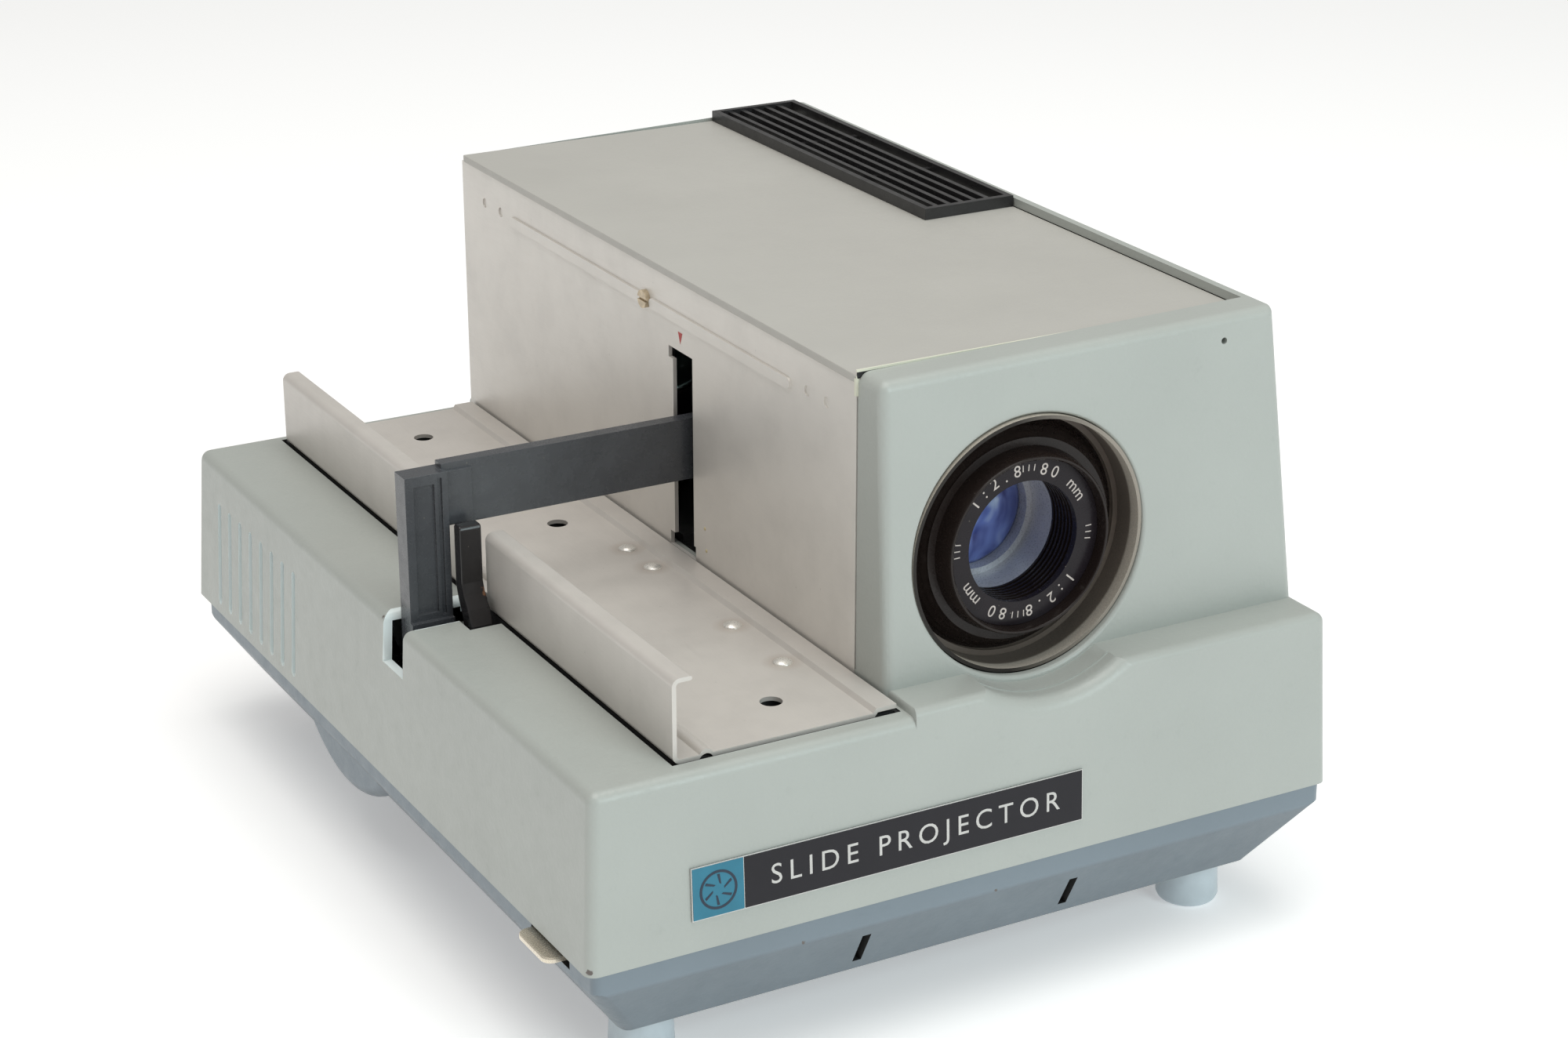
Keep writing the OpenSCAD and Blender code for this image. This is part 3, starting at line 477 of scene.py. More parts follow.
def painted_shade_below(material, share):
    """Painted shade: darkens the faces that look down, in mottled patches."""
    tree = material.node_tree
    shader = tree.nodes["Principled BSDF"]
    tint = shader.inputs["Base Color"].links[0].from_socket
    geometry = tree.nodes.new("ShaderNodeNewGeometry")
    split = tree.nodes.new("ShaderNodeSeparateXYZ")
    tree.links.new(geometry.outputs["Normal"], split.inputs["Vector"])
    shade_patches = ramp(tree, noise(tree, place(tree), 12, 4, 0.6), (0.3, (share, share, share * 0.99, 1)),
                 (0.7, (share + 0.1, share + 0.1, share + 0.09, 1)))
    multiply = tree.nodes.new("ShaderNodeMix")
    multiply.data_type = "RGBA"
    multiply.blend_type = "MULTIPLY"
    # Painted shade, strongest where a face looks most steeply down.
    tree.links.new(spread(tree, split.outputs["Z"], 1, 0, -0.55, -0.1), multiply.inputs[0])
    tree.links.new(tint, multiply.inputs[6])
    tree.links.new(shade_patches, multiply.inputs[7])
    tree.links.new(multiply.outputs[2], shader.inputs["Base Color"])
    return material


def cover_enamel():
    return enamel("cover_enamel", tone(182, 180, 174), peel=0.04, rough=0.42)


def rim_enamel():
    """The paler blue coat on the inside of notches and vents."""
    return enamel("rim_enamel", tone(236, 246, 246), peel=0.03)


# Painted shade: a dark grey for the hollows, inner webs, cut faces, gaps and holes of the housing and the
# pan.
def cavity_painted_shade():
    return finish("cavity_painted_shade", tone(42, 42, 42), 0.85, mottle=0.1)


def satin_aluminium(name, colour, rough=0.45, metal=0.12):
    """Rolled sheet with a matt lacquer, faint rolling lines and stains."""
    material, tree, shader = start(name)
    where = place(tree)
    stains = noise(tree, where, 14, 4, 0.6)
    tint = ramp(tree, stains, (0.25, shade(colour, 0.93)), (0.55, colour), (0.8, shade(colour, 1.03)))
    specks = cells(tree, where, 7)
    tint = blend(tree, spread(tree, specks, 0.35, 0, 0.02, 0.05), tint, shade(colour, 0.55))
    tree.links.new(tint, shader.inputs["Base Color"])
    lines = noise(tree, place(tree, (1, 0.04, 1)), 0.3, 2)
    tree.links.new(spread(tree, lines, rough - 0.06, rough + 0.08), shader.inputs["Roughness"])
    tree.links.new(bump(tree, lines, 0.006), shader.inputs["Normal"])
    shader.inputs["Metallic"].default_value = metal
    return material


def channel_aluminium():
    """The channel floor, stained around its rivets."""
    material = satin_aluminium("channel_aluminium", tone(206, 201, 195), 0.38, 0.22)
    tree = material.node_tree
    shader = tree.nodes["Principled BSDF"]
    tint = shader.inputs["Base Color"].links[0].from_socket
    where = place(tree)
    for y in RIVETS:
        tint = blend(tree, halo(tree, where, (79.7, y, FLOOR_Z), 6), tint, tone(168, 152, 138))
    tree.links.new(tint, shader.inputs["Base Color"])
    return material


def halo(tree, where, point, size):
    """A soft stain around a point."""
    distance = tree.nodes.new("ShaderNodeVectorMath")
    distance.operation = "DISTANCE"
    tree.links.new(where, distance.inputs[0])
    distance.inputs[1].default_value = at(*point)
    return spread(tree, distance.outputs["Value"], 0.5, 0, 0.3 * size * MM, size * MM)


def plastic(name, colour, rough=0.3, dust_gap=5, specular=0.5):
    """Moulded plastic or paint with a fine grain, faint clouds and a little dust."""
    material, tree, shader = start(name)
    where = place(tree)
    clouds = noise(tree, where, 9, 4, 0.6)
    tint = ramp(tree, clouds, (0.3, shade(colour, 0.88)), (0.7, shade(colour, 1.12)))
    dust = cells(tree, where, dust_gap)
    tint = blend(tree, spread(tree, dust, 0.5, 0, 0.015, 0.05), tint, tone(150, 142, 130))
    tree.links.new(tint, shader.inputs["Base Color"])
    rubbed = noise(tree, where, 4, 5, 0.65)
    tree.links.new(spread(tree, rubbed, rough - 0.06, rough + 0.12), shader.inputs["Roughness"])
    tree.links.new(bump(tree, noise(tree, where, 0.6, 2), 0.004), shader.inputs["Normal"])
    shader.inputs["Specular IOR Level"].default_value = specular
    return material


def worn_lever():
    """Glossy black, worn brown at its bend."""
    material = plastic("gloss_black_plastic", tone(36, 34, 35), 0.14, 3)
    tree = material.node_tree
    shader = tree.nodes["Principled BSDF"]
    tint = shader.inputs["Base Color"].links[0].from_socket
    tint = blend(tree, spot(tree, place(tree), (26.4, 117, 55), 3.4), tint, tone(120, 84, 60))
    tree.links.new(tint, shader.inputs["Base Color"])
    return material


def glass(name, colour, rough=0.02):
    """Clear or tinted glass, with a trace of haze."""
    material, tree, shader = start(name)
    where = place(tree)
    dust = noise(tree, where, 1.5, 4)
    tree.links.new(spread(tree, dust, rough, rough + 0.05), shader.inputs["Roughness"])
    shader.inputs["Base Color"].default_value = colour
    shader.inputs["Transmission Weight"].default_value = 1.0
    shader.inputs["IOR"].default_value = 1.5
    return material


def coated_glass():
    """The bloomed front element: blue and violet, with pale swirls of haze."""
    material, tree, shader = start("coated_glass")
    where = place(tree)
    swirl = noise(tree, where, 15, 2.5, 0.55)
    swirl.node.inputs["Distortion"].default_value = 0.9
    tint = ramp(tree, swirl, (0.34, tone(60, 66, 130)), (0.48, tone(110, 128, 196)),
                (0.62, tone(196, 216, 244)))
    tree.links.new(tint, shader.inputs["Base Color"])
    tree.links.new(spread(tree, swirl, 0.1, 0.25), shader.inputs["Roughness"])
    shader.inputs["Coat Weight"].default_value = 1.0
    shader.inputs["Coat Roughness"].default_value = 0.03
    return material


def sleeve_metal():
    """The sleeve: grey brown anodised metal, dark inside as painted shade, paler and grainy at its mouth as
    painted light, and on its front rim painted shade on the left and painted light on the right.
    """
    material, tree, shader = start("sleeve_metal")
    where = place(tree)
    sparkle = noise(tree, where, 0.35, 2)
    shaded_deep = tone(112, 103, 95)
    pale = tone(196, 188, 176)
    inside = ramp(tree, sparkle, (0.35, shade(shaded_deep, 0.85)), (0.75, shade(shaded_deep, 1.2)))
    mouth = ramp(tree, sparkle, (0.35, shade(pale, 0.8)), (0.75, shade(pale, 1.1)))
    split = tree.nodes.new("ShaderNodeSeparateXYZ")
    tree.links.new(where, split.inputs["Vector"])
    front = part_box("lens_sleeve")[0].y
    # Painted shade deep inside and painted light at the mouth: pale within about 3.2 to 4 mm of the front,
    # dark deeper in.
    lit_mouth_mask = spread(tree, split.outputs["Y"], 1, 0, front + 3.2 * MM, front + 4.0 * MM)
    tint = blend(tree, lit_mouth_mask, inside, mouth)
    geometry = tree.nodes.new("ShaderNodeNewGeometry")
    facing = tree.nodes.new("ShaderNodeSeparateXYZ")
    tree.links.new(geometry.outputs["Normal"], facing.inputs["Vector"])
    # Painted shade and light on the faces that look to the front: dark on the left of the axis, pale to its
    # right.
    rim = ramp(tree, spread(tree, split.outputs["X"], 0, 1, at(AXIS_X - 5, 0, 0).x, at(AXIS_X + 24, 0, 0).x),
               (0.0, tone(40, 36, 33)), (1.0, tone(150, 142, 132)))
    tint = blend(tree, spread(tree, facing.outputs["Y"], 1, 0, -0.8, -0.5), tint, rim)
    tree.links.new(tint, shader.inputs["Base Color"])
    tree.links.new(spread(tree, sparkle, 0.4, 0.6), shader.inputs["Roughness"])
    tree.links.new(bump(tree, sparkle, 0.01), shader.inputs["Normal"])
    shader.inputs["Metallic"].default_value = 0.15
    shader.inputs["Specular IOR Level"].default_value = 0.3
    return material


def slot_materials():
    """One material for each slot of the record."""
    made = {
        "housing_enamel": housing_enamel(),
        "pan_enamel": pan_enamel(),
        "cover_enamel": cover_enamel(),
        "plate_aluminium": satin_aluminium("plate_aluminium", tone(222, 218, 212), 0.4, 0.25),
        "channel_aluminium": channel_aluminium(),
        "cast_aluminium": finish("cast_aluminium", tone(150, 151, 151), 0.5, 0.7, grain=0.05),
        "cell_aluminium": finish("cell_aluminium", tone(186, 187, 194), 0.3, 0.2, patch=6),
        "rivet_steel": finish("rivet_steel", tone(226, 222, 215), 0.3, 0.5, patch=2),
        "brass_screw": finish("brass_screw", tone(196, 180, 154), 0.38, 0.5, 0.2, 1.5),
        "plate_black": finish("plate_black", tone(56, 55, 60), 0.3, 0.1, 0.05, 8),
        "foot_plastic": finish("foot_plastic", tone(192, 203, 209), 0.4, 0, 0.05, 6, 0.015),
        "zinc_steel": finish("zinc_steel", tone(160, 160, 158), 0.35, 0.9, 0.1, 6),
        "black_rubber": finish("black_rubber", tone(34, 34, 34), 0.75, 0, 0.12, 4, 0.03, 0.4),
        "nickel": finish("nickel", tone(226, 216, 198), 0.26, 0.6, 0.05, 4, 0.008, 0.4),
        "black_plastic": plastic("black_plastic", tone(38, 37, 38), 0.3),
        "grey_plastic": plastic("grey_plastic", tone(68, 70, 74), 0.24),
        "gloss_black_plastic": worn_lever(),
        "sleeve_metal": sleeve_metal(),
        "focus_bronze_paint": plastic("focus_bronze_paint", tone(96, 86, 78), 0.42, 4),
        "barrel_black": plastic("barrel_black", tone(34, 27, 25), 0.24, 4, specular=0.25),
        "ring_black": plastic("ring_black", tone(32, 27, 31), 0.24, 5, specular=0.2),
        "coated_glass": coated_glass(),
        "clear_glass": glass("clear_glass", (0.9, 0.95, 0.95, 1)),
        "heat_glass": glass("heat_glass", (0.62, 0.85, 0.82, 1)),
        "mirror_glass": finish("mirror_glass", (0.9, 0.92, 0.93, 1), 0.06, 1, 0.01, 20, 0.0, vary=0.02),
        "mirror_metal": finish("mirror_metal", tone(215, 215, 217), 0.12, 1, 0.03, 8, 0.0, vary=0.03),
        "black_steel": finish("black_steel", tone(52, 52, 54), 0.45, 0.5, 0.1, 8),
        "spring_steel": finish("spring_steel", tone(150, 150, 152), 0.25, 1, 0.06, 5),
        "ceramic": finish("ceramic", tone(218, 214, 202), 0.45, 0, 0.04, 5, 0.02),
        "lamination_steel": lamination(),
        "copper_wire": winding("copper_wire", tone(160, 92, 48)),
        "coil_tape": finish("coil_tape", tone(196, 168, 92), 0.4, 0, 0.08, 5, 0.02, 0.6, (1, 1, 0.1)),
        "brass_pins": finish("brass_pins", tone(206, 178, 108), 0.25, 1, 0.06, 3, 0.006),
    }
    return made


def lamination():
    """Stacked iron sheets."""
    material, tree, shader = start("lamination_steel")
    sheets = noise(tree, place(tree, (1, 0.02, 0.02)), 0.5, 1)
    tint = ramp(tree, sheets, (0.4, tone(70, 70, 72)), (0.6, tone(120, 118, 116)))
    tree.links.new(tint, shader.inputs["Base Color"])
    tree.links.new(bump(tree, sheets, 0.05), shader.inputs["Normal"])
    shader.inputs["Metallic"].default_value = 0.7
    shader.inputs["Roughness"].default_value = 0.5
    return material


def winding(name, colour):
    """Enamelled wire, side by side."""
    material, tree, shader = start(name)
    waves = tree.nodes.new("ShaderNodeTexWave")
    waves.bands_direction = "X"
    waves.inputs["Scale"].default_value = 600.0
    waves.inputs["Distortion"].default_value = 0.4
    tree.links.new(place(tree), waves.inputs["Vector"])
    turns = waves.outputs["Fac"]
    tint = ramp(tree, turns, (0.2, shade(colour, 0.45)), (0.8, colour))
    tree.links.new(tint, shader.inputs["Base Color"])
    tree.links.new(bump(tree, turns, 0.1), shader.inputs["Normal"])
    shader.inputs["Metallic"].default_value = 0.8
    shader.inputs["Roughness"].default_value = 0.3
    return material


# ------------------------------------------------------------- the housing

def low_block():
    """The shelf half of the housing; its right end is buried in the other half."""
    right = HOOD_X + 3
    block = leaning("housing_shell", (-LEFT_OUT, right), (0, BODY_D), (0, SHELF),
                    LEFT_OUT + LOW_LEFT, 0, LOW_FRONT * SHELF / LEDGE, LOW_BACK * SHELF / LEDGE)

    def weigh(a, b):
        if a.z < 0.01 and b.z < 0.01:
            return 0.0
        return 0.0 if a.x > right - 0.01 and b.x > right - 0.01 else 1.0
    return round_edges(block, EDGE_R, weigh)


def ledge_block():
    """The half that carries the hood, a little higher than the shelf."""
    left = HOOD_X + 1
    block = leaning("ledge", (left, BODY_W), (0, BODY_D), (0, LEDGE), 0, LOW_RIGHT,
                    LOW_FRONT, LOW_BACK)

    def weigh(a, b):
        if a.z < 0.01 and b.z < 0.01:
            return 0.0
        on_left = a.x < left + 0.01 and b.x < left + 0.01
        if on_left:
            return 0.3 if abs(a.z - b.z) < 1 else 0.0
        return 1.0
    return round_edges(block, EDGE_R, weigh)


def hood_block():
    """The hood, whose top falls a little to the left."""
    block = leaning("hood", (HOOD_X, HOOD_X + HOOD_W), (HOOD_Y, HOOD_Y + HOOD_D),
                    (HOOD_FOOT, HOOD_TOP), 0, LEAN_SIDE, LEAN_FRONT, LEAN_BACK)
    for corner in block.data.vertices:
        place_mm = (corner.co - ORIGIN) / MM
        if place_mm.z > HOOD_TOP - 1 and place_mm.x < HOOD_X + 1:
            corner.co.z -= HOOD_FALL * MM

    def weigh(a, b):
        if a.z < HOOD_FOOT + 0.01 and b.z < HOOD_FOOT + 0.01:
            return 0.0
        top_right = min(a.x, b.x) > HOOD_X + 100 and min(a.z, b.z) > HOOD_TOP - 1
        return 0.5 if top_right else 1.0
    return round_edges(block, EDGE_R, weigh)


def hollows():
    low = leaning("hollow", (WALL - LEFT_OUT, BODY_W - WALL), (WALL, BODY_D - WALL),
                  (-1, SHELF - WALL), LEFT_OUT + LOW_LEFT, LOW_RIGHT, LOW_BACK, LOW_BACK)
    high = leaning("hollow", (HOOD_X + WALL, HOOD_X + HOOD_W - WALL + 0.3),
                   (HOOD_Y + WALL, HOOD_Y + HOOD_D - WALL), (SHELF - WALL - 1, HOOD_TOP - WALL),
                   0, LEAN_SIDE, LEAN_FRONT, LEAN_BACK)
    return [low, high]


def inner_webs():
    """Bed under the channel, backing of the scoop, screw bosses."""
    webs = [slab(24, HOOD_X + WALL, WALL + 4, BODY_D - WALL - 4, SHELF - 4, SHELF - 0.5)]
    webs.append(slab(AXIS_X - 26, AXIS_X + 26, WALL + 0.5, HOOD_Y + WALL, 41, 47))
    for x, y in SCREWS[:2]:
        webs.append(rod("z", (x, y), 4.6, -PAN_H + 2.2, 46.2))
    return webs


def cover_openings():
    """Seat of the cover, the opening under it, and the seat, gap and window of the wall plate."""
    cuts = [slab(HOOD_X - 1, COVER_RIGHT, *COVER_Y, COVER_Z - 1.2, HOOD_TOP + 1)]
    cuts.append(slab(HOOD_X - 1, 206.6, 34, 271.2, HOOD_TOP - 12, HOOD_TOP + 1))
    cuts.append(slab(HOOD_X - 1, HOOD_X + 1.3, 31.7, 276.8, SHELF, COVER_Z))
    cuts.append(slab(HOOD_X - 1, HOOD_X + 3, 31.1, 31.8, LEDGE + 0.3, COVER_Z - 2.2))
    cuts.append(slab(HOOD_X - 1, HOOD_X + 6, 36.9, 270.5, SHELF + 1.5, HOOD_TOP + 1))
    return cuts


def channel_seat():
    """The seat, the gap cut right through along two sides of it, and the holes below the floor."""
    side_gap, gap = 0.6, 0.9
    left, front = FLANGE_X - side_gap, CHAN_Y[0] - gap
    cuts = [slab(left, HOOD_X, front, CHAN_Y[1] + gap, FLOOR_Z - SHEET, SHELF + 1)]
    cuts.append(slab(left, FLANGE_X + 0.8, front, CHAN_Y[1] + gap, 40, SHELF + 0.5))
    cuts.append(slab(left + 0.1, HOOD_X - 1, front + 0.05, CHAN_Y[0] + 1, 40, SHELF + 0.4))
    for x, y in CHANNEL_HOLES:
        cuts.append(rod("z", (x, y), 4, 40, SHELF + 0.3))
    return cuts


def notch():
    """The notch for the changer and its lever, with soft edges."""
    left, right = NOTCH_X
    front, back = NOTCH_Y
    lever_left, lever_front = 17.4, 109.2
    cuts = [slab(left, right, front, back, NOTCH_FLOOR, SHELF + 1)]
    cuts.append(slab(lever_left, right, lever_front, back, 30, SHELF + 1))
    cuts.append(edge_strip("x", left, 26, (back, SHELF), -1, 1, 2.2))
    cuts.append(edge_strip("x", left, lever_left, (front, SHELF), 1, 1, 1.2))
    cuts.append(edge_strip("z", NOTCH_FLOOR, SHELF + 1, (0.1, back), -1, -1, 1.2))
    cuts.append(edge_strip("z", NOTCH_FLOOR, SHELF + 1, (0.1, front), -1, 1, 0.8))
    return cuts


def vents():
    """Rows of slots in the left side and in the back of the hood."""
    cuts = []
    rows = ((SIDE_VENTS, "x", -LEFT_OUT - 1, 6), (REAR_VENTS, "y", BODY_D - 11, BODY_D + 1))
    for (count, first, pitch, *shape), axis, begin, end in rows:
        for i in range(count):
            cuts.append(prism("vent", slot_outline(first + pitch * i, *shape), axis, begin, end))
    return cuts


def rear_openings():
    """Holes of the inlet and the switch with their flange seats, and the fuse's hole."""
    inside, seat, outside = 276, 280.6, 283
    cuts = [slab(176.2, 203.8, inside, outside, 12.2, 31.8), slab(170.8, 209.2, seat, outside, 8.8, 35.2)]
    cuts += [slab(143.7, 158.3, inside, outside, 10.2, 31.8), slab(141.8, 160.2, seat, outside, 8.3, 33.7)]
    cuts.append(rod("y", (123, 21), 6.2, inside, 284))
    return cuts


def lens_opening():
    """The hole in the hood and the scoop below it in the front, both with rounded mouths."""
    rise = HOOD_TOP - HOOD_FOOT
    hood_face = HOOD_Y + LEAN_FRONT * (AXIS_Z - HOOD_FOOT) / rise
    hood_tilt = math.degrees(math.atan(LEAN_FRONT / rise))
    front_face = LOW_FRONT * AXIS_Z / LEDGE
    front_tilt = math.degrees(math.atan(LOW_FRONT / LEDGE))
    cuts = [rod("y", (AXIS_X, AXIS_Z), HOLE_R + 1.5, -1, HOOD_Y)]
    cuts.append(lip(HOLE_R + 1.5, (AXIS_X, front_face, AXIS_Z), front_tilt, 4.4, 7))
    cuts.append(lip(HOLE_R, (AXIS_X, hood_face, AXIS_Z), hood_tilt, 1.1, 9))
    cuts.append(rod("y", (196.5, 127), 0.9, 17, 22.2))
    return cuts


def housing(paint, rim, dark):
    shell = low_block()
    shell.data.materials.append(paint)
    combine(shell, [ledge_block(), hood_block()], "UNION", paint)
    combine(shell, hollows(), "DIFFERENCE", dark)
    combine(shell, inner_webs(), "UNION", dark)
    combine(shell, cover_openings() + lens_opening(), "DIFFERENCE", paint)
    combine(shell, channel_seat() + rear_openings(), "DIFFERENCE", dark)
    combine(shell, notch() + vents(), "DIFFERENCE", rim)
    bores = [rod("z", (x, y), 2.05, -PAN_H, 1) for x, y in SCREWS[:2]]
    combine(shell, bores, "DIFFERENCE", dark)
    smooth(shell)
    return settle(shell, "housing_enamel", "body", "housing")


# ------------------------------------------------------------ the base pan

def pan_solid(name, grow, top):
    """The pan's outside, or its inside when grow is below zero."""
    x0, x1 = PAN_X[0] - grow, PAN_X[1] + grow
    y0, y1 = PAN_Y[0] - grow, PAN_Y[1] + grow
    low = -PAN_H - grow
    left, right, front, back = PAN_LEAN
    points = [(x0, y0, top), (x1, y0, top), (x1, y1, top), (x0, y1, top)]
    points += [(x0, y0, -BAND_H), (x1, y0, -BAND_H), (x1, y1, -BAND_H), (x0, y1, -BAND_H)]
    points += [(x0 + left, y0 + front, low), (x1 - right, y0 + front, low)]
    points += [(x1 - right, y1 - back, low), (x0 + left, y1 - back, low)]
    faces = [(0, 1, 2, 3), (8, 9, 10, 11)]
    for ring in (0, 4):
        for i in range(4):
            j = (i + 1) % 4
            faces.append((ring + i, ring + j, ring + 4 + j, ring + 4 + i))
    return solid(name, points, faces)


def pan_weight(a, b):
    """Rounding of the pan's edges, as shares of PAN_R."""
    level = abs(a.z - b.z) < 0.01
    if not level:
        return 0.7 if min(a.z, b.z) > -BAND_H - 0.01 else 1.0
    if a.z > -1:
        return 0.0
    return 0.22 if a.z > -BAND_H - 0.01 else 0.4


def pan_bulge(grow):
    """Round swelling of the left slope, beside the fan."""
    left = 3.4 - grow
    radius = BULGE_R + grow
    soft = 4.0
    profile = [(0, left), (radius - soft, left)]
    profile += [(radius - soft + soft * math.sin(t), left + soft - soft * math.cos(t))
                for t in [math.radians(15 * i) for i in range(1, 7)]]
    profile += [(radius, 17.4), (0, 17.4)]
    bulge = turned("bulge", profile, (0, BULGE_Y, BULGE_Z), (1, 0, 0), 180)
    keep = slab(0, 20, BULGE_Y - BULGE_R, BULGE_Y + BULGE_R, -PAN_H + 1 - grow, -BAND_H + 1)
    return combine(bulge, [keep], "INTERSECT")


def pan_cuts():
    """Slots in the front slope, air slots below, and holes of the feet, screws and release tab."""
    cuts = [slab(x - 1.3, x + 1.3, 0, 13, -21, -11) for x in (80, 144)]
    cuts += [slab(20 + 5 * i, 22.5 + 5 * i, 154, 186, -PAN_H - 1, -PAN_H + 4) for i in range(7)]
    cuts += [slab(130 + 8 * i, 133 + 8 * i, 190, 240, -PAN_H - 1, -PAN_H + 4) for i in range(8)]
    cuts += [rod("z", (x, FOOT_Y), 4.1, -PAN_H - 1, -PAN_H + 5) for x in FOOT_X]
    cuts += [rod("z", spot_, 2.2, -PAN_H - 1, -PAN_H + 5) for spot_ in SCREWS]
    cuts.append(slab(-1, 12, 15.5, 38, -5.2, -2.2))
    return cuts


def base_pan(paint, dark):
    pan = round_edges(pan_solid("pan_shell", 0, -0.2), PAN_R, pan_weight)
    pan.data.materials.append(paint)
    combine(pan, [pan_bulge(0)], "UNION", paint)
    combine(pan, [pan_solid("inside", -PAN_SKIN, 1), pan_bulge(-PAN_SKIN)] + pan_cuts(), "DIFFERENCE", dark)
    smooth(pan)
    return settle(pan, "pan_enamel", "body", "base_pan")


# -------------------------------------------------------- the tray channel

def floor_outline():
    """Section of the floor: a bead near the flange and a raised strip along the wall."""
    low = FLOOR_Z - SHEET
    step = 1.2
    bead_r, sunk = 2.1, 0.9
    bead = arc((BEAD_X, FLOOR_Z - sunk), bead_r, 155, 25, 8)
    under = arc((BEAD_X, low - sunk), bead_r, 25, 155, 8)
    top = [(FLANGE_X + 2, FLOOR_Z)] + bead
    top += [(STRIP_X[0], FLOOR_Z), (STRIP_X[0] + 0.9, FLOOR_Z + step), (STRIP_X[1], FLOOR_Z + step)]
    bottom = [(STRIP_X[1], low + step), (STRIP_X[0] + 1.3, low + step), (STRIP_X[0] + 0.4, low)]
    return top + bottom + under + [(FLANGE_X + 2, low)]


def flange_outline():
    """Section of the flange: a round bend at its foot and a folded lip at its top."""
    low = FLOOR_Z - SHEET
    outer = 2.2
    inner = outer - SHEET
    tip_r = SHEET / 2
    foot = (FLANGE_X + outer, low + outer)
    head = (FLANGE_X + outer, FLANGE_TOP - outer)
    end = FLANGE_X + LIP_W
    outside = [(foot[0] + 2, low)] + arc(foot, outer, 270, 180) + arc(head, outer, 180, 90)
    tip = arc((end - tip_r, FLANGE_TOP - tip_r), tip_r, 90, -90, 6)
    inside = arc(head, inner, 90, 180) + arc(foot, inner, 180, 270) + [(foot[0] + 2, FLOOR_Z)]
    return outside + tip + inside


def tray_channel(sheet_metal):
    """The floor with its two flanges; between them lies the opening for the lever and handle."""
    channel = prism("channel_sheet", floor_outline(), "y", *CHAN_Y)
    channel.data.materials.append(sheet_metal)
    flanges = [prism("flange", flange_outline(), "y", *ends) for ends in FLANGES]
    combine(channel, flanges, "UNION", sheet_metal)
    cuts = [rod("z", hole, 3, FLOOR_Z - 3, FLOOR_Z + 2) for hole in CHANNEL_HOLES]
    cuts.append(slab(20, FLANGE_X + 4, FLANGES[0][1], FLANGES[1][0], FLOOR_Z - 3, FLOOR_Z + 4))
    combine(channel, cuts, "DIFFERENCE", sheet_metal)
    bevel = channel.modifiers.new("edges", "BEVEL")
    bevel.width = 0.22 * MM
    bevel.segments = 2
    bevel.limit_method = "ANGLE"
    bevel.angle_limit = math.radians(55)
    smooth(channel)
    return settle(channel, "channel_aluminium", "body", "tray_channel")


# ----------------------------------------------------------- small pieces

def tilt_back(obj):
    """Leans a piece on the nameplate with the front of the housing."""
    pivot = Matrix.Translation(at(0, 0, 0))
    obj.data.transform(pivot @ Matrix.Rotation(math.radians(PLATE_TILT), 4, "X") @ pivot.inverted())
    return obj


def letters(name, text, size, thick, spacing=1.0):
    """Flat lettering centred on the origin of its mesh, in metres, facing -Y."""
    curve = bpy.data.curves.new(name, "FONT")
    curve.body = text
    curve.size = size * MM
    curve.extrude = thick * MM / 2
    curve.align_x = "CENTER"
    curve.align_y = "CENTER"
    curve.space_character = spacing
    curve.resolution_u = 4
    words = new_object(name, curve)
    bpy.context.view_layer.update()
    graph = bpy.context.evaluated_depsgraph_get()
    mesh = bpy.data.meshes.new_from_object(words.evaluated_get(graph))
    bpy.data.objects.remove(words)
    mesh.transform(Matrix.Rotation(math.radians(90), 4, "X"))
    return new_object(name, mesh)


def join(name, objects):
    """One object from several."""
    merged = bmesh.new()
    for obj in objects:
        merged.from_mesh(obj.data)
    mesh = bpy.data.meshes.new(name)
    merged.to_mesh(mesh)
    merged.free()
    for obj in objects:
        bpy.data.objects.remove(obj)
    return new_object(name, mesh)


def nameplate():
    """Silver-edged plate: a teal square with a round emblem, and a black bar with lettering."""
    silver = finish("plate_silver", tone(190, 190, 188), 0.25, 0.9, 0.04, 5)
    black = finish("plate_black_bar", tone(27, 25, 31), 0.4, 0.0, 0.06, 8, 0.004, specular=0.3)
    teal = finish("plate_teal", tone(50, 118, 141), 0.35, 0.0, 0.07, 5, 0.004, specular=0.3)
    split = PLATE_X[0] + SQUARE_W
    back = slab(*PLATE_X, -0.6, 0, *PLATE_Z, name="nameplate_back")
    dress(tilt_back(back), silver, "plate_black", "body", "nameplate")
    bar = slab(split, PLATE_X[1] - 0.3, -0.74, -0.5, PLATE_Z[0] + 0.3, PLATE_Z[1] - 0.3, name="nameplate_bar")
    dress(tilt_back(bar), black, "plate_black", "body")
    square = slab(PLATE_X[0] + 0.3, split - 0.3, -0.74, -0.5, PLATE_Z[0] + 0.3, PLATE_Z[1] - 0.3,
                  name="nameplate_square")
    dress(tilt_back(square), teal, "plate_black", "body")
    emblem(split)
    words = letters("nameplate_letters", "SLIDE PROJECTOR", 7.8, 0.12, 1.42)
    words.data.transform(Matrix.Translation(at((split + PLATE_X[1]) / 2, -0.72, sum(PLATE_Z) / 2)))
    dress(tilt_back(words), silver, "plate_black", "body")


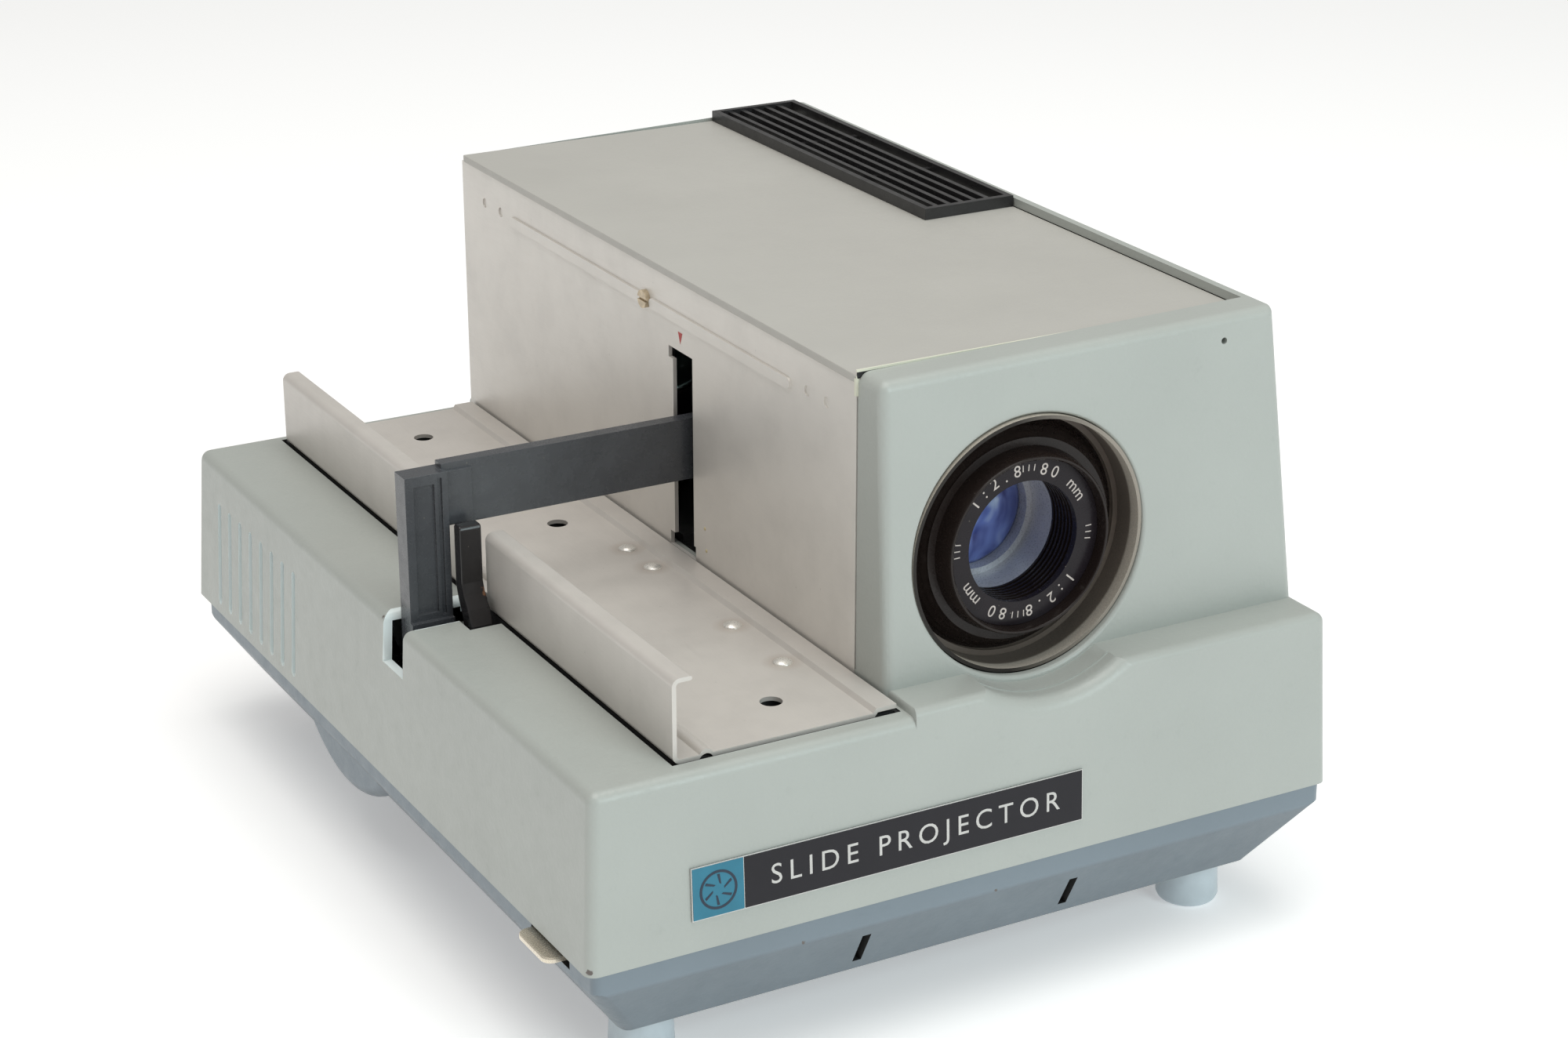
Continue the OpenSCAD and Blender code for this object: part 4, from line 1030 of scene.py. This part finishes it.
def emblem(split):
    """A plain ring with six blades."""
    ink = finish("emblem_ink", tone(28, 44, 62), 0.35, 0.1, 0.05, 4)
    middle = ((PLATE_X[0] + split) / 2, 0, sum(PLATE_Z) / 2)
    parts = []
    ring = turned("ring", [(4.6, -0.8), (5.3, -0.8), (5.3, -0.7), (4.6, -0.7), (4.6, -0.8)],
                  middle, (0, 1, 0), 48)
    parts.append(ring)
    for i in range(6):
        angle = math.radians(60 * i)
        points = []
        for radius, turn in ((1.6, 0), (4.2, 24), (4.2, 34), (1.7, 20)):
            bearing = angle + math.radians(turn)
            points.append((middle[0] + radius * math.cos(bearing), middle[2] + radius * math.sin(bearing)))
        parts.append(prism("blade", points, "y", -0.8, -0.7))
    dress(tilt_back(join("nameplate_emblem", parts)), ink, "plate_black", "body")


def dress(obj, material, slot, body, *replaced):
    """Gives a small piece its material and body; the slot argument is not used."""
    obj.data.materials.clear()
    obj.data.materials.append(material)
    return settle(obj, slot, body, *replaced)


def ring_marks():
    """Engraved marks around the lens ring: figures and short ticks."""
    ink = finish("ring_ink", tone(196, 186, 180), 0.5, 0, 0.1, 3)
    front = RING_FACE - 0.06
    pieces = []
    texts = (("1:2.8", 118), ("80 mm", 52), ("1:2.8", 298), ("80 mm", 232))
    for text, middle in texts:
        for i, letter in enumerate(text):
            if letter == " ":
                continue
            bearing = middle - 10.5 * (i - (len(text) - 1) / 2)
            pieces.append(ring_letter(letter, bearing, front))
    for i in range(72):
        if i % 18 < 3:
            pieces.append(ring_tick(5 * i + 172, front))
    dress(join("lens_ring_marks", pieces), ink, "ring_black", "lens")


def ring_letter(letter, bearing, front):
    radius = 19.8
    figure = letters("figure", letter, 4.6, 0.05)
    turn = Matrix.Rotation(math.radians(90 - bearing), 4, "Y")
    angle = math.radians(bearing)
    spot_ = at(AXIS_X + radius * math.cos(angle), front, AXIS_Z + radius * math.sin(angle))
    figure.data.transform(Matrix.Translation(spot_) @ turn)
    return figure


def ring_tick(bearing, front):
    angle = math.radians(bearing)
    side = (-0.14 * math.sin(angle), 0.14 * math.cos(angle))
    points = []
    for radius, way in ((19.4, 1), (21.2, 1), (21.2, -1), (19.4, -1)):
        x = AXIS_X + radius * math.cos(angle) + way * side[0]
        points.append((x, AXIS_Z + radius * math.sin(angle) + way * side[1]))
    return prism("tick", points, "y", front - 0.03, front + 0.03)


def slot_mark():
    """Red triangle above the slide slot, pointing down to it."""
    red = finish("mark_red", tone(176, 44, 40), 0.4, 0, 0.08, 2)
    outline = [(127.2, 114.7), (129.8, 114.7), (128.5, 111.3)]
    mark = prism("slot_mark", outline, "x", HOOD_X - 0.06, HOOD_X + 0.1)
    dress(mark, red, "plate_aluminium", "body")


def plate_dots():
    """Two lacquered pin heads in front of the slot, and a bright pin inside it."""
    cream = finish("dot_cream", tone(205, 190, 150), 0.4, 0, 0.05, 2)
    bright = finish("pin_bright", tone(200, 196, 188), 0.25, 0.9, 0.05, 2)
    heads = []
    for y, z in ((114.8, 61), (114, 54.6)):
        heads.append(turned("head", [(0, -0.3), (0.4, -0.2), (0.6, 0.1), (0, 0.1)],
                            (HOOD_X, y, z), (1, 0, 0), 24))
    dress(join("plate_pins", heads), cream, "rivet_steel", "body")
    pin = turned("slot_pin", [(0, 0), (0.7, 0), (0.9, 0.3), (0.9, 6), (0, 6)], (HOOD_X + 2.4, 125, 61),
                 (1, 0, 0), 24)
    dress(pin, bright, "rivet_steel", "body")


def cover_tab():
    """The end of the cover's folded edge, at its front left corner, and the hem along its front edge; both
    are paler as a painted highlight, above a dark strip of painted shadow.
    """
    tab = leaning("cover_tab", (HOOD_X - 0.6, HOOD_X + 0.5), (31, 32.1), (125.8, COVER_Z - 0.2))
    # The tab and hem are paler than the cover: a painted highlight along its folded front edge.
    cream = enamel("hem_painted_highlight", tone(222, 222, 204), peel=0.02)
    dress(tab, cream, "cover_enamel", "cover")
    hem = slab(HOOD_X - 0.6, 205, 30.75, 31.3, COVER_Z + 0.9, COVER_Z + 1.5, "cover_hem")
    dress(hem, cream, "cover_enamel", "cover")
    # A dark strip below the hem: painted shadow of the gap under the cover's front edge.
    shadow = slab(HOOD_X - 0.4, 204, 30.85, 31.2, COVER_Z - 0.6, COVER_Z + 0.9, "cover_hem_painted_shadow")
    dress(shadow, bpy.data.materials["cavity_painted_shade"], "cover_enamel", "cover")


# --------------------------------------------------------- the CAD's nodes

BEVELS = {
    "changer_handle": 0.8, "transport_lever": 0.5, "cover_plate": 0.3, "cover_grille": 0.4,
    "wall_plate": 0.35, "release_tab": 0.45, "front_feet": 0.4,
    "rear_feet": 0.4, "mains_inlet": 0.6, "switch_body": 0.5, "switch_rocker": 0.5, "fuse_cap": 0.5,
    "optical_bench": 0.5, "transformer_core": 0.4, "terminal_strip": 0.5, "lamp_socket": 0.5,
}
SMOOTH_ONLY = ("front_element", "middle_element", "rear_element", "gate_condenser", "lamp_condenser",
               "lamp_bulb", "reflector", "channel_rivets", "lens_barrel", "focus_tube", "lens_cell",
               "lens_baffle", "name_ring", "lens_sleeve", "focus_nut")


def soften(node, obj):
    """Joins the imported faces and rounds the sharp edges a little."""
    weld = obj.modifiers.new("weld", "WELD")
    weld.merge_threshold = 0.002 * MM
    if node not in SMOOTH_ONLY:
        flat = obj.modifiers.new("flat", "DECIMATE")
        flat.decimate_type = "DISSOLVE"
        flat.angle_limit = math.radians(0.7)
        bevel = obj.modifiers.new("edges", "BEVEL")
        bevel.width = BEVELS.get(node, 0.2) * MM
        bevel.segments = 3
        bevel.limit_method = "ANGLE"
        bevel.angle_limit = math.radians(35)
    weighted = obj.modifiers.new("normals", "WEIGHTED_NORMAL")
    weighted.keep_sharp = True


def dress_nodes(materials):
    slots = {part["node"]: part["material_slot"] for part in frame["record"]["subparts"]}
    for node, obj in NODES.items():
        obj.data.materials.clear()
        obj.data.materials.append(materials[slots[node]])
        soften(node, obj)


# ------------------------------------------------------------------ studio

VIEW_AZIMUTH = -29.1
VIEW_ELEVATION = 21.45
VIEW_DISTANCE = 0.96
VIEW_AIM = (0.0301, 0.0139, 0.0813)
FLOOR_HALF = 12.0
ROOM_LIGHT = 0.385
FLOOR_GLOW = 0.3


def make_camera():
    azimuth = math.radians(VIEW_AZIMUTH)
    elevation = math.radians(VIEW_ELEVATION)
    aim = Vector(VIEW_AIM)
    back = Vector((math.sin(azimuth) * math.cos(elevation), -math.cos(azimuth) * math.cos(elevation),
                   math.sin(elevation)))
    data = bpy.data.cameras.new("camera")
    data.lens = 73.6
    data.sensor_width = 36.0
    camera = bpy.data.objects.new("camera", data)
    bpy.context.scene.collection.objects.link(camera)
    camera.location = aim + back * VIEW_DISTANCE
    camera.rotation_mode = "QUATERNION"
    camera.rotation_quaternion = (-back).to_track_quat("-Z", "Y")
    bpy.context.scene.camera = camera


def make_light(name, spot_, aim, size, power, colour):
    data = bpy.data.lights.new(name, "AREA")
    data.shape = "SQUARE"
    data.size = size
    data.energy = power
    data.color = colour
    light = bpy.data.objects.new(name, data)
    bpy.context.scene.collection.objects.link(light)
    light.location = spot_
    light.rotation_mode = "QUATERNION"
    light.rotation_quaternion = (Vector(aim) - Vector(spot_)).to_track_quat("-Z", "Y")


def make_studio():
    scene = bpy.context.scene
    world = bpy.data.worlds.new("studio")
    world.use_nodes = True
    world.node_tree.nodes["Background"].inputs["Color"].default_value = (1.0, 0.99, 0.965, 1)
    world.node_tree.nodes["Background"].inputs["Strength"].default_value = ROOM_LIGHT
    scene.world = world
    middle = (0.0, 0.0, 0.09)
    make_light("front", (0.45, -1.7, 0.9), middle, 0.9, 12.0, (0.8, 0.97, 1.0))
    make_light("top", (-0.12, -0.15, 1.7), middle, 1.4, 18.5, (1.0, 0.985, 0.955))
    mesh = bpy.data.meshes.new("floor")
    corners = [(x * FLOOR_HALF, y * FLOOR_HALF, 0) for x, y in ((-1, -1), (1, -1), (1, 1), (-1, 1))]
    mesh.from_pydata(corners, [], [(0, 1, 2, 3)])
    floor = new_object("floor", mesh)
    pale, _, shader = start("floor_white")
    shader.inputs["Base Color"].default_value = (0.9, 0.9, 0.9, 1)
    shader.inputs["Roughness"].default_value = 0.9
    shader.inputs["Specular IOR Level"].default_value = 0.1
    shader.inputs["Emission Color"].default_value = (1, 1, 1, 1)
    shader.inputs["Emission Strength"].default_value = FLOOR_GLOW
    mesh.materials.append(pale)
    scene.view_settings.view_transform = "Standard"


def main():
    make_camera()
    make_studio()
    materials = slot_materials()
    dress_nodes(materials)
    dark = cavity_painted_shade()
    housing(materials["housing_enamel"], rim_enamel(), dark)
    base_pan(materials["pan_enamel"], dark)
    tray_channel(materials["channel_aluminium"])
    nameplate()
    ring_marks()
    slot_mark()
    plate_dots()
    cover_tab()


main()
